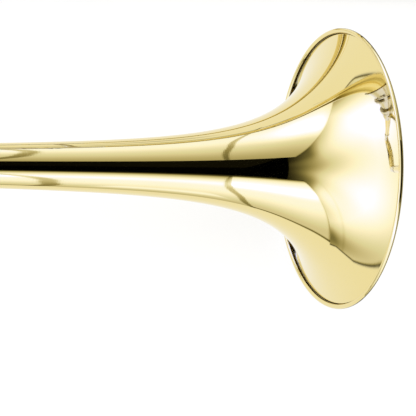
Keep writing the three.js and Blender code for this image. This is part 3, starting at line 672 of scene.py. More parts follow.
def half_turn(
    start: float, centre: float, bend: float, lead: int, steps: int
) -> tuple[np.ndarray, np.ndarray]:
    """Lays a path straight to a bend, half round it, and straight back.

    Args:
        start: Where the path starts and ends along the instrument.
        centre: Where the bend's centre is.
        bend: The bend's radius.
        lead: How many points each straight has.
        steps: How many steps the bend has.

    Returns:
        How far along and how far across each point is.
    """
    angles = np.linspace(0, math.pi, steps + 1)
    straight = np.linspace(start, centre, lead + 1)[:-1]
    outwards = math.copysign(bend, centre - start)
    along = np.concatenate([straight, centre + outwards * np.sin(angles), straight[::-1]])
    return along, np.concatenate([np.zeros(lead), bend - bend * np.cos(angles), np.full(lead, 2 * bend)])


def slab_shape(outline: Outline, low: float, high: float) -> Shape:
    """Makes a flat plate.

    Args:
        outline: The plate's outline in the first two coordinates.
        low: Where the plate starts in the third.
        high: Where it ends.

    Returns:
        Its points and faces.
    """
    count = len(outline)
    points = [(a, b, level) for level in (low, high) for a, b in outline]
    sides = [(k, count + k, count + (k + 1) % count, (k + 1) % count) for k in range(count)]
    return np.array(points, float), [tuple(range(count)), tuple(range(2 * count - 1, count - 1, -1)), *sides]


def signed_volume(points: np.ndarray, faces: Faces) -> float:
    """Works out the volume that faces close.

    Args:
        points: The shape's points.
        faces: Its faces.

    Returns:
        The volume, less than nought where the faces point inwards.
    """
    total = 0.0
    for face in faces:
        for b, c in zip(face[1:], face[2:]):
            total += float(np.dot(points[face[0]], np.cross(points[b], points[c])))
    return total / 6


def joined(*shapes: Shape) -> Shape:
    """Joins closed shapes, each with its faces turned outwards.

    Args:
        shapes: The shapes.

    Returns:
        One shape.
    """
    points, faces, base = [], [], 0
    for shape_points, shape_faces in shapes:
        if signed_volume(shape_points - shape_points.mean(0), shape_faces) < 0:
            shape_faces = [tuple(reversed(face)) for face in shape_faces]
        points.append(shape_points)
        faces += [tuple(index + base for index in face) for face in shape_faces]
        base += len(shape_points)
    return np.vstack(points), faces


def engraved(outline: Outline, closed: bool, grooves: Sequence[float], depth: float = 0.22) -> Outline:
    """Cuts turned lines into the longest outer cylinder of an outline.

    Args:
        outline: Its corners as (along, radius).
        closed: Whether it is closed.
        grooves: Where the lines are, as shares of the cylinder's length.
        depth: How deep and half as wide they are.

    Returns:
        The outline with its lines.
    """
    if not grooves:
        return outline
    level = 0.05
    count = len(outline)
    middle = sum(radius for _, radius in outline) / count
    faces = []
    for i in range(count if closed else count - 1):
        (start, radius), (end, other) = outline[i], outline[(i + 1) % count]
        if abs(radius - other) < level and radius > middle:
            faces.append((abs(end - start), i))
    at = max(faces)[1]
    (start, radius), (end, _) = outline[at], outline[(at + 1) % count]
    half = math.copysign(depth, end - start)
    cuts: Outline = []
    for centre in (start + (end - start) * share for share in sorted(grooves)):
        cuts += [(centre - half, radius), (centre, radius - depth), (centre + half, radius)]
    return outline[: at + 1] + cuts + outline[at + 1 :]


# Making pieces


class Workshop:
    """Makes pieces in the row's frame, dresses them and hangs them on their bodies."""

    off_axis: float = 0.05

    def __init__(self, loaded: dict[str, Any]) -> None:
        """Reads the frame.
        """
        record = loaded["record"]
        self.nodes = loaded["nodes"]
        self.place = Placement(loaded["joints"])
        self.body = {node: body for body, nodes in record["behaviour"]["bodies"].items() for node in nodes}
        self.slot = {part["node"]: part["material_slot"] for part in record["subparts"]}

    def meridian(self, node: str, seat: Seat) -> tuple[np.ndarray, np.ndarray, dict[int, set[int]]]:
        """Reads the edges of a turned CAD node that lie in one plane through its axis.

        Args:
            node: The CAD node.
            seat: The axis that it is turned about.

        Returns:
            Its points in the seat's coordinates, their radii, and the points that each point is linked to.
        """
        mesh = self.nodes[node].data
        mesh.calc_loop_triangles()
        flat = np.empty(len(mesh.vertices) * 3, np.float32)
        mesh.vertices.foreach_get("co", flat)
        local = moved(self.place.to_instrument(flat.reshape(-1, 3).astype(float)), seat.matrix().inverted())
        rows, index = np.unique(np.round(local, 2), axis=0, return_inverse=True)
        index = index.reshape(-1)
        radius = np.hypot(rows[:, 1], rows[:, 2])
        angle = np.round(np.degrees(np.arctan2(rows[:, 2], rows[:, 1])), 0) % 360
        outside = radius > self.off_axis
        values, counts = np.unique(angle[outside], return_counts=True)
        kept = (outside & (np.abs(angle - values[np.argmax(counts)]) < 1)) | ~outside
        links: dict[int, set[int]] = {}
        for triangle in mesh.loop_triangles:
            corners = [int(index[v]) for v in triangle.vertices]
            for a, b in zip(corners, corners[1:] + corners[:1]):
                if a != b and kept[a] and kept[b] and (outside[a] or outside[b]):
                    links.setdefault(a, set()).add(b)
                    links.setdefault(b, set()).add(a)
        return rows, radius, links

    def mend(self, links: dict[int, set[int]], rows: np.ndarray, radius: np.ndarray) -> None:
        """Joins loose ends across a flat end face, whose own edges may run in another plane.

        Args:
            links: The points that each point is linked to, which it adds to.
            rows: The points.
            radius: Their radii.
        """
        loose = [key for key, others in links.items() if len(others) == 1 and radius[key] > self.off_axis]
        while len(loose) > 1:
            pairs = [(a, b) for i, a in enumerate(loose) for b in loose[i + 1 :]]
            a, b = min(pairs, key=lambda pair: float(np.abs(rows[pair[0], 0] - rows[pair[1], 0])))
            links[a].add(b)
            links[b].add(a)
            loose = [key for key in loose if key not in (a, b)]

    def outline_of(self, node: str, seat: Seat) -> tuple[Outline, bool]:
        """Follows a turned CAD node's outline.

        Args:
            node: The CAD node.
            seat: The axis that it is turned about.

        Returns:
            The outline's corners as (along, radius), and whether it is closed.
        """
        rows, radius, links = self.meridian(node, seat)
        self.mend(links, rows, radius)
        ends = [key for key in links if radius[key] <= self.off_axis]
        start = min(ends or links, key=lambda key: rows[key, 0])
        chain, previous = [start], None
        while True:
            ahead = [key for key in links[chain[-1]] if key != previous and key not in chain[1:]]
            ahead = [key for key in ahead if key != start or len(chain) > 2]
            if not ahead or ahead[0] == start:
                break
            previous = chain[-1]
            chain.append(ahead[0])
            if ahead[0] in ends:
                break
        outline = [(float(rows[key, 0]), 0.0 if key in ends else float(radius[key])) for key in chain]
        return outline, not ends

    def piece(
        self,
        name: str,
        shape: Shape,
        nodes: Sequence[str],
        seat: Seat = BELL_AXIS,
        crease: float = CREASE_DEG,
        bevel: float = 0.0,
    ) -> None:
        """Makes a finished piece that stands for one or more CAD nodes.

        Args:
            name: The piece's name.
            shape: Its points and faces, in the seat's local millimetres.
            nodes: The CAD nodes that it replaces; the first gives its body and finish.
            seat: The axis that the shape is made about.
            crease: The angle, in degrees, past which an edge is sharp.
            bevel: The width of a bevel on its sharp edges, or nought.
        """
        points, faces = joined(shape)
        mesh = bpy.data.meshes.new(name)
        mesh.from_pydata(self.place.to_row(moved(points, seat.matrix())).tolist(), [], faces)
        finish = Surface.of_slot(self.slot[nodes[0]])
        self.hang(name, mesh, self.body[nodes[0]], finish, nodes, crease, bevel)

    def hang(
        self,
        name: str,
        mesh: bpy.types.Mesh,
        body: str,
        surface: Surface,
        nodes: Sequence[str] = (),
        crease: float = CREASE_DEG,
        bevel: float = 0.0,
    ) -> None:
        """Dresses a mesh that lies in the row's frame, and lets it ride on its body.

        Args:
            name: The piece's name.
            mesh: The mesh, in the row's metres.
            body: The body that it rides on.
            surface: Its finish.
            nodes: The CAD nodes that it replaces, if any.
            crease: The angle, in degrees, past which an edge is sharp.
            bevel: The width of a bevel on its sharp edges, or nought.
        """
        mesh.validate()
        mesh.shade_smooth()
        mesh.set_sharp_from_angle(angle=math.radians(crease))
        mesh.materials.clear()
        mesh.materials.append(surface.value.material())
        piece = put(name, mesh)
        if bevel:
            rounding = piece.modifiers.new("rounded_edges", "BEVEL")
            rounding.width = bevel * MM
            rounding.segments = 2
            rounding.limit_method = "ANGLE"
            rounding.angle_limit = math.radians(crease)
            rounding.harden_normals = False
        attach(piece, body)
        if nodes:
            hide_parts(*nodes)
        log.info("%s: %d faces on %s", name, len(mesh.polygons), body)

    def turned(
        self, node: str, seat: Seat, edge: float = 0.25, sides: int = MEDIUM, grooves: Sequence[float] = ()
    ) -> None:
        """Makes the fine form of a turned CAD node.

        Args:
            node: The CAD node.
            seat: The axis that it is turned about.
            edge: How much its corners are rounded.
            sides: How many sides it has.
            grooves: Where along its longest outer face it has turned lines, as shares of that face.
        """
        outline, closed = self.outline_of(node, seat)
        fine = rounded(engraved(outline, closed, grooves), edge, closed)
        self.piece(node + ".turned", turned_shape(fine, closed, sides), [node], seat)


# Braces


@dataclass(frozen=True)
class Foot:
    """A brace's foot: a saddle plate that follows its tube, with a round boss for the rod."""

    tube: float
    radius: float = 6.6
    plate: float = 1.1
    boss_radius: float = 4.4
    boss_length: float = 4.2
    fillet: float = 1.3
    rounding: float = 0.5
    edge_limit: float = 0.7
    under_edge: float = 0.12
    arc_steps: int = 6
    sides: int = 64

    def section(self) -> list[Spot]:
        """Draws the foot's section from its top centre to its underside.

        Returns:
            Its points as how far out, how high, and how far they follow the tube.
        """
        top, low = self.plate + self.boss_length, self.plate + self.fillet
        edge = min(self.plate * self.edge_limit, self.edge_limit)
        angles = [math.pi / 2 * k / self.arc_steps for k in range(self.arc_steps + 1)]
        rows = [(0.0, top, 0.0), (self.boss_radius - self.rounding * 1.5, top, 0.0)]
        for a in angles:
            out = self.boss_radius - self.rounding * (1 - math.sin(a))
            rows.append((out, top - self.rounding * (1 - math.cos(a)), 0.0))
        rows.append((self.boss_radius, top - self.rounding * 1.6, 0.0))
        rows.append((self.boss_radius, low + (top - low) * 0.15, 0.85))
        for a in angles:
            out = self.boss_radius + self.fillet * (1 - math.cos(a)) * 0.9
            rows.append((out, low - self.fillet * math.sin(a), 1.0))
        for a in angles:
            out = self.radius - edge * (1 - math.sin(a))
            rows.append((out, self.plate - edge * (1 - math.cos(a)), 1.0))
        rows += [(self.radius, self.under_edge, 1.0), (self.radius - self.under_edge, 0.0, 1.0)]
        return rows + [(self.radius / 2, 0.0, 1.0), (0.0, 0.0, 1.0)]

    def shape(self) -> Shape:
        """Makes the foot, with the rod leaving along the first axis and the tube along the second.

        Returns:
            Its points and faces.
        """
        points: list[Spot] = []
        rings: list[list[int]] = []
        for out, rise, follow in self.section():
            height = self.tube + FIT_GAP + rise
            if out == 0:
                rings.append([len(points)] * self.sides)
                points.append((height, 0.0, 0.0))
                continue
            rings.append(list(range(len(points), len(points) + self.sides)))
            for angle in (TAU * k / self.sides for k in range(self.sides)):
                over = out * math.sin(angle)
                curved = math.sqrt(height**2 - over**2)
                points.append((follow * curved + (1 - follow) * height, out * math.cos(angle), over))
        return np.array(points), ring_faces(rings, False)


@dataclass(frozen=True)
class Brace:
    """A brace between two tubes: a turned rod and a foot at each end."""

    name: str
    ends: tuple[str, str]
    seats: tuple[Seat, Seat]
    feet: tuple[Foot, Foot]
    softness: float = 2.2

    def build(self, shop: Workshop) -> None:
        """Makes the rod and the two feet.

        Args:
            shop: The workshop.
        """
        shop.turned(self.name + "_rod", self.seats[0], edge=self.softness, sides=COARSE)
        for end, seat, foot in zip(self.ends, self.seats, self.feet):
            node = f"{self.name}_flange_{end}"
            shop.piece(node + ".soldered", foot.shape(), [node], seat)


BELL_TO_NECK = ("bell", "neck")
SLIDE_TUBES = ("lower", "upper")


# Sub-assemblies


class BellTree(MeshTree):
    """The geometry tree that turns the bell's rule into a sheet with a rolled rim."""

    def __init__(self, sizes: dict[str, float]) -> None:
        """Makes the tree: both skins of the sheet and of its curl, and the strips that close their ends.

        Args:
            sizes: The bell's sizes.
        """
        super().__init__("bell_sheet", sizes)
        size = self.size
        spot = {0: self.tree.nodes.new("GeometryNodeInputPosition").outputs[0]}
        place = add(self.tree, "ShaderNodeSeparateXYZ", spot).outputs
        share = Term(self.tree, place["X"]) + 0.5
        self.around = (Term(self.tree, place["Y"]) + 0.5) * TAU
        behind = size["Length"] * share.rest() ** size["Crowding"]
        start, curl = size["Edge Angle"], size["Curl"]
        curl_end = start + curl
        lip = [a + (b - a) * share for a, b in zip(self.bead(curl_end, 0.0), self.bead(curl_end, 1.0))]
        tail_ends = zip(self.sheet(size["Length"], 1.0), self.sheet(size["Length"], 0.0))
        tail = [a + (b - a) * share for a, b in tail_ends]
        inside = self.strip(size["Sheet Stations"], *self.sheet(behind, 1.0))
        strips = [
            self.strip(size["Sheet Stations"], *self.sheet(behind, 0.0)),
            self.strip(size["Bead Stations"], *self.bead(start + curl * share, 0.0)),
            self.strip(2, *lip),
            self.strip(size["Bead Stations"], *self.bead(curl_end - curl * share, 1.0)),
            self.add("GeometryNodeFlipFaces", {0: inside}),
            self.strip(2, *tail),
        ]
        whole = self.tree.nodes.new("GeometryNodeJoinGeometry")
        for part in strips:
            plug(self.tree, whole.inputs[0], part)
        self.end(self.add("GeometryNodeMergeByDistance", {"Geometry": whole.outputs[0], "Distance": MM}))

    def sheet(self, behind: Term, skin: float) -> tuple[Term, Term]:
        """Works out the sheet's outline.

        Args:
            behind: How far behind the sheet's front edge.
            skin: Nought for the outer face, one for the inner.

        Returns:
            How far along and how far from the axis it is.
        """
        size = self.size
        spread = behind / size["Flare Reach"] + 1
        fall = size["Flare Power"] * -1.0
        radius = size["Stem Radius"] - size["Stem Taper"] * behind + size["Flare Rise"] * spread**fall
        steep = size["Flare Rise"] * size["Flare Power"] / size["Flare Reach"] * spread ** (fall - 1)
        slope = size["Stem Taper"] + steep
        run = (slope * slope + 1).made("SQRT")
        thick = size["Wall"] * skin
        return size["Edge X"] - behind + thick * slope / run, radius - thick / run

    def bead(self, angle: Term, skin: float) -> tuple[Term, Term]:
        """Works out the curl's outline.

        Args:
            angle: How far round its wire.
            skin: Nought for the outer face, one for the inner, as for the sheet.

        Returns:
            How far along and how far from the bell's axis it is.
        """
        out = self.size["Bead Radius"]
        reach = out - self.size["Wall"] * (1 - skin)
        return reach * angle.made("COSINE") - out, self.size["Rim Radius"] - out + reach * angle.made("SINE")

    def strip(self, stations: Term | int, along: Term, radius: Term) -> bpy.types.NodeSocket:
        """Wraps a grid of stations and sides round the axis.

        Args:
            stations: How many stations it has.
            along: How far along each point is.
            radius: How far from the axis it is.

        Returns:
            The strip's geometry.
        """
        counts = {"Vertices X": stations, "Vertices Y": self.size["Sides"] + 1}
        grid = self.add("GeometryNodeMeshGrid", counts)
        turned = {"X": along}
        for axis, operation in (("Y", "COSINE"), ("Z", "SINE")):
            turned[axis] = radius * self.around.made(operation)
        spot = self.add("ShaderNodeCombineXYZ", turned)
        return self.add("GeometryNodeSetPosition", {"Geometry": grid, "Position": spot})


@dataclass
class BellSection:
    """The bell, its sleeves, the gooseneck, the slide receiver and the two bell braces."""

    rim_radius: float = 102.1
    bead_radius: float = 1.7
    wall: float = 0.6
    length: float = 520.0
    stem_radius: float = 18.17
    stem_taper: float = 0.01343
    flare_reach: float = 150.0
    flare_power: float = 4.04
    curl_deg: float = 272.0
    crowding: float = 2.2
    sheet_stations: int = 110
    bead_stations: int = 26
    sides: int = 192
    front_brace_x: float = -298.0
    rear_brace_x: float = -560.0
    receiver_radius: float = 11.3
    sleeve_radii: tuple[float, float] = (11.49, 8.5)
    thread_front: float = -278.9
    thread_rear: float = -284.0
    thread_radius: float = 10.45
    thread_depth: float = 0.38
    thread_pitch: float = 1.0
    thread_steps: int = 64
    ridge_sides: int = 6

    def __post_init__(self) -> None:
        """Works out where the sheet meets the rolled rim."""
        centre = self.rim_radius - self.bead_radius
        slope = (centre - self.stem_radius) * self.flare_power / self.flare_reach + self.stem_taper
        run = math.hypot(1, slope)
        inside = self.bead_radius - self.wall
        self.edge_x = -self.bead_radius + inside * slope / run
        self.edge_angle = math.atan2(-1, slope)
        self.flare_rise = centre - inside / run - self.stem_radius

    def radius(self, behind: float) -> float:
        """Returns the bell's outer radius at a distance behind the sheet's edge."""
        flare = self.flare_rise * (1 + behind / self.flare_reach) ** -self.flare_power
        return self.stem_radius - self.stem_taper * behind + flare

    def sheet(self, shop: Workshop) -> None:
        """Makes the bell from its rule.

        Args:
            shop: The workshop.
        """
        sizes = {
            "Length": self.length + self.edge_x,
            "Stem Radius": self.stem_radius,
            "Stem Taper": self.stem_taper,
            "Flare Rise": self.flare_rise,
            "Flare Reach": self.flare_reach,
            "Flare Power": self.flare_power,
            "Wall": self.wall,
            "Edge X": self.edge_x,
            "Edge Angle": self.edge_angle,
            "Rim Radius": self.rim_radius,
            "Bead Radius": self.bead_radius,
            "Curl": math.radians(self.curl_deg),
            "Crowding": self.crowding,
            "Sheet Stations": self.sheet_stations,
            "Bead Stations": self.bead_stations,
            "Sides": self.sides,
        }
        mesh = BellTree(sizes).run(sizes, Surface.BRASS)
        mesh.transform(shop.place.matrix)
        points = np.array([vertex.co for vertex in mesh.vertices])
        if signed_volume(points - points.mean(0), [tuple(face.vertices) for face in mesh.polygons]) < 0:
            mesh.flip_normals()
        shop.hang("bell.spun", mesh, "bell_section", Surface.BRASS, ["bell_flare", "bell_stem"])

    def thread(self, shop: Workshop) -> None:
        """Makes the receiver's screw thread, a ridge wound on a spiral, which shows behind the lock nut.

        Args:
            shop: The workshop.
        """
        length = self.thread_front - self.thread_rear
        sizes = {
            "Turns": length / self.thread_pitch,
            "Length": length,
            "Radius": self.thread_radius,
            "Depth": self.thread_depth,
        }
        tree = MeshTree("screw_thread", sizes)
        size = tree.size
        spiral = {"Resolution": self.thread_steps, "Rotations": size["Turns"], "Height": size["Length"]}
        spiral |= {"Start Radius": size["Radius"], "End Radius": size["Radius"]}
        circle = {"Resolution": self.ridge_sides, "Radius": size["Depth"]}
        wound = {
            "Curve": tree.add("GeometryNodeCurveSpiral", spiral),
            "Profile Curve": tree.add("GeometryNodeCurvePrimitiveCircle", circle),
            "Fill Caps": True,
        }
        tree.end(tree.add("GeometryNodeCurveToMesh", wound))
        mesh = tree.run(sizes, Surface.NICKEL)
        mesh.transform(shop.place.matrix @ Seat((self.thread_rear, BELL_TO_SLIDE, 0)).standing())
        shop.hang("slide_receiver.thread", mesh, "bell_section", Surface.NICKEL)

    def build(self, shop: Workshop) -> None:
        """Makes the whole sub-assembly.

        Args:
            shop: The workshop.
        """
        self.sheet(shop)
        shop.turned("rim_wire", BELL_AXIS, edge=0.4, sides=FINE)
        for side, seat in zip(BELL_TO_NECK, (BELL_AXIS, LOWER_AXIS)):
            shop.turned(side + "_ferrule", seat, edge=0.7, sides=FINE, grooves=(0.3, 0.7))
            shop.turned(side + "_tuning_sleeve", seat, edge=0.25, sides=FINE)
        shop.turned("gooseneck", LOWER_AXIS, edge=0.25, sides=FINE)
        shop.turned("slide_receiver", LOWER_AXIS, edge=0.8, sides=FINE)
        self.thread(shop)
        foot_edge = self.front_brace_x + 0.15 + Foot.radius
        front_feet = (Foot(self.radius(self.edge_x - foot_edge)), Foot(self.receiver_radius))
        Brace("front_brace", BELL_TO_NECK, across_at(self.front_brace_x), front_feet).build(shop)
        rear_feet = (Foot(self.sleeve_radii[0]), Foot(self.sleeve_radii[1]))
        Brace("rear_brace", BELL_TO_NECK, across_at(self.rear_brace_x), rear_feet).build(shop)


@cache
def knurl_tree() -> MeshTree:
    """Makes the geometry tree of a straight knurl: ridges that stand round Z and run along it.

    Returns:
        The tree, made once.
    """
    ridge_sides = 6
    knurling = MeshTree("straight_knurl", {"Count": 60, "Radius": 13.0, "Length": 10.0, "Width": 0.4})
    size = knurling.size
    circle = knurling.add("GeometryNodeMeshCircle", {"Vertices": size["Count"], "Radius": size["Radius"]})
    bar = {"Vertices": ridge_sides, "Radius Top": size["Width"], "Radius Bottom": size["Width"]}
    ridge = knurling.add("GeometryNodeMeshCone", {**bar, "Depth": size["Length"]})
    number = Term(knurling.tree, knurling.add("GeometryNodeInputIndex"))
    facing = knurling.add("ShaderNodeCombineXYZ", {"Z": number / size["Count"] * TAU})
    spread = {"Points": circle, "Instance": ridge, "Rotation": facing}
    knurling.end(knurling.add("GeometryNodeInstanceOnPoints", spread))
    return knurling


@dataclass(frozen=True)
class Knurl:
    """A band of straight knurling on the slide's lower axis."""

    name: str
    body: str
    middle: float
    ridges: int
    radius: float
    length: float
    width: float = 0.34

    def build(self, shop: Workshop) -> None:
        """Makes the band.

        Args:
            shop: The workshop.
        """
        sizes = {
            "Count": self.ridges,
            "Radius": self.radius - self.width,
            "Length": self.length,
            "Width": self.width,
        }
        mesh = knurl_tree().run(sizes, Surface.NICKEL)
        stand = Seat((self.middle, BELL_TO_SLIDE, 0)).standing()
        mesh.transform(shop.place.matrix @ stand @ Matrix.Translation((0, 0, -self.length / 2)))
        shop.hang(self.name, mesh, self.body, Surface.NICKEL)


@dataclass
class TuningSlide:
    """The tuning slide: its crook, legs, ferrules and brace."""

    crook_end: float = -599.6
    bend_centre: float = -606.3
    bend: float = 70.0
    radii: tuple[float, float] = (10.49, 7.5)
    wall: float = 0.6
    brace_x: float = -599.45
    foot_radius: float = 5.4
    ferrule_radii: tuple[float, float] = (11.69, 8.7)
    straight_points: int = 3
    bend_steps: int = 96
    sides: int = 64

    def crook(self, shop: Workshop) -> None:
        """Makes the bent crook, which narrows from the bell's leg to the neck's.

        Args:
            shop: The workshop.
        """
        x, y = half_turn(self.crook_end, self.bend_centre, self.bend, self.straight_points, self.bend_steps)
        path = np.stack([x, y, np.zeros_like(x)], 1)
        run = np.concatenate([[0], np.cumsum(np.linalg.norm(np.diff(path, axis=0), axis=1))])
        radii = np.interp(run, [0, run[-1]], self.radii)
        shop.piece("tuning_crook.bent", tube_shape(path, radii, self.wall, self.sides), ["tuning_crook"])

    def build(self, shop: Workshop) -> None:
        """Makes the whole sub-assembly.

        Args:
            shop: The workshop.
        """
        self.crook(shop)
        for side, seat in zip(BELL_TO_NECK, (BELL_AXIS, LOWER_AXIS)):
            shop.turned("tuning_leg_" + side, seat, edge=0.2, sides=FINE)
            shop.turned("tuning_ferrule_" + side, seat, edge=0.5, sides=FINE)
        feet = (Foot(self.ferrule_radii[0], self.foot_radius), Foot(self.ferrule_radii[1], self.foot_radius))
        Brace("tuning_brace", BELL_TO_NECK, across_at(self.brace_x), feet).build(shop)


@dataclass
class InnerSlide:
    """The inner slide: its tubes, mouthpipe, receivers, cork barrels, corks and brace."""

    brace_x: float = -250.0
    tenon_radius: float = 7.9
    receiver_radius: float = 8.6

    def build(self, shop: Workshop) -> None:
        """Makes the whole sub-assembly.

        Args:
            shop: The workshop.
        """
        for side, seat in zip(SLIDE_TUBES, (LOWER_AXIS, UPPER_AXIS)):
            shop.turned(side + "_inner_tube", seat, edge=0.15, sides=MEDIUM)
            shop.turned(side + "_cork_barrel", seat, edge=0.5, sides=FINE)
            shop.turned(side + "_slide_cork", seat, edge=0.5, sides=MEDIUM)
        shop.turned("mouthpipe", UPPER_AXIS, edge=0.15, sides=MEDIUM)
        shop.turned("slide_tenon", LOWER_AXIS, edge=0.4, sides=FINE)
        shop.turned("mouthpiece_receiver", UPPER_AXIS, edge=0.8, sides=FINE, grooves=(0.12, 0.18))
        feet = (Foot(self.tenon_radius), Foot(self.receiver_radius))
        Brace("inner_brace", SLIDE_TUBES, down_at(self.brace_x), feet).build(shop)


@dataclass
class LockNut:
    """The knurled nut that draws the hand slide into the receiver."""

    rear: float = -278.2
    length: float = 19.0
    radius: float = 13.2
    knurl_length: float = 11.5
    knurl_proud: float = 0.12
    ridges: int = 72

    def build(self, shop: Workshop) -> None:
        """Makes the nut and its knurling.

        Args:
            shop: The workshop.
        """
        shop.turned("lock_nut", LOWER_AXIS, edge=0.5, sides=FINE, grooves=(0.1, 0.9))
        middle, radius = self.rear + self.length / 2, self.radius + self.knurl_proud
        Knurl("lock_nut.knurl", "lock_nut", middle, self.ridges, radius, self.knurl_length).build(shop)


@dataclass
class SlideLock:
    """The lock ring on the lower cork barrel, with the hook that catches the outer slide's pin."""

    rear: float = -210.3
    front: float = -201.3
    bore: float = 10.1
    hook_bore: float = 10.9
    radius: float = 12.2
    thickness: float = 1.3
    hook_front: float = -182.2
    tongue_rear: float = -185.4
    arm_from: float = 138.0
    arm_to: float = 153.0
    tongue_from: float = 113.0
    step_deg: float = 2.5
    rounding: float = 0.35
    knurl_share: float = 0.62
    knurl_proud: float = 0.1
    ridges: int = 60
    sides: int = 96

    def hook(self) -> Shape:
        """Makes the hook: an arm along the slide and a tongue round it, cut from one curved plate.

        Returns:
            Its points and faces.
        """
        root = self.front - self.thickness
        corners = [
            (root, self.arm_from),
            (self.tongue_rear, self.arm_from),
            (self.tongue_rear, self.tongue_from),
            (self.hook_front, self.tongue_from),
            (self.hook_front, self.arm_to),
            (root, self.arm_to),
        ]
        outline: Outline = []
        for (x0, a0), (x1, a1) in zip(corners, corners[1:] + corners[:1]):
            steps = max(1, int(abs(a1 - a0) / self.step_deg))
            outline += [(x0 + (x1 - x0) * k / steps, a0 + (a1 - a0) * k / steps) for k in range(steps)]
        points, faces = slab_shape(outline, self.hook_bore, self.radius)
        angle, radius = np.radians(points[:, 1]), points[:, 2]
        return np.stack([points[:, 0], radius * np.cos(angle), radius * np.sin(angle)], 1), faces

    def build(self, shop: Workshop) -> None:
        """Makes the ring, its hook and its knurling.

        Args:
            shop: The workshop.
        """
        outer = [(self.rear, self.radius), (self.front, self.radius)]
        corners = [(self.rear, self.bore), *outer, (self.front, self.bore)]
        ring = rounded(engraved(corners, True, (0.08, 0.92)), self.rounding, True)
        shape = joined(turned_shape(ring, True, self.sides), self.hook())
        shop.piece("slide_lock_ring.turned", shape, ["slide_lock_ring"], LOWER_AXIS)
        middle, radius = (self.rear + self.front) / 2, self.radius + self.knurl_proud
        length = (self.front - self.rear) * self.knurl_share
        Knurl("slide_lock_ring.knurl", "slide_lock", middle, self.ridges, radius, length).build(shop)


@dataclass
class Mouthpiece:
    """The mouthpiece, one turned piece."""

    softness: float = 30.0
    sides: int = 128

    def build(self, shop: Workshop) -> None:
        """Makes the mouthpiece in the workshop."""
        shop.turned("mouthpiece", UPPER_AXIS, edge=self.softness, sides=self.sides)


@dataclass
class OuterSlide:
    """The outer slide: its tubes, grip, end crook and bumper."""

    crook_start: float = 415.3
    bend_centre: float = 420.0
    bend: float = 44.0
    radius: float = 7.75
    wall: float = 0.6
    grip_x: float = -171.0
    grip_radius: float = 8.9
    grip_softness: float = 0.5
    pin_x: float = -187.2
    straight_points: int = 2
    bend_steps: int = 72
    sides: int = 64

    def crook(self, shop: Workshop) -> None:
        """Makes the end crook, a half circle between the two tubes.

        Args:
            shop: The workshop.
        """
        start, centre = self.crook_start, self.bend_centre
        x, down = half_turn(start, centre, self.bend, self.straight_points, self.bend_steps)
        path = np.stack([x, np.full_like(x, BELL_TO_SLIDE), -down], 1)
        shape = tube_shape(path, np.full(len(path), self.radius), self.wall, self.sides)
        shop.piece("end_crook.bent", shape, ["end_crook"])

    def build(self, shop: Workshop) -> None:
        """Makes the whole sub-assembly.

        Args:
            shop: The workshop.
        """
        for side, seat in zip(SLIDE_TUBES, (LOWER_AXIS, UPPER_AXIS)):
            shop.turned(side + "_outer_tube", seat, edge=0.25, sides=MEDIUM)
            shop.turned(side + "_grip_sleeve", seat, edge=0.6, sides=FINE)
            shop.turned(side + "_crook_ferrule", seat, edge=0.5, sides=FINE, grooves=(0.15, 0.85))
        self.crook(shop)
        feet = (Foot(self.grip_radius), Foot(self.grip_radius))
        Brace("grip_brace", SLIDE_TUBES, down_at(self.grip_x), feet, self.grip_softness).build(shop)
        tip = Seat((0, BELL_TO_SLIDE, -self.bend))
        shop.turned("bumper_socket", tip, edge=0.5, sides=MEDIUM)
        shop.turned("rubber_bumper", tip, edge=1.6, sides=MEDIUM)
        shop.turned("lock_pin", upright_at(self.pin_x), edge=0.4, sides=COARSE)


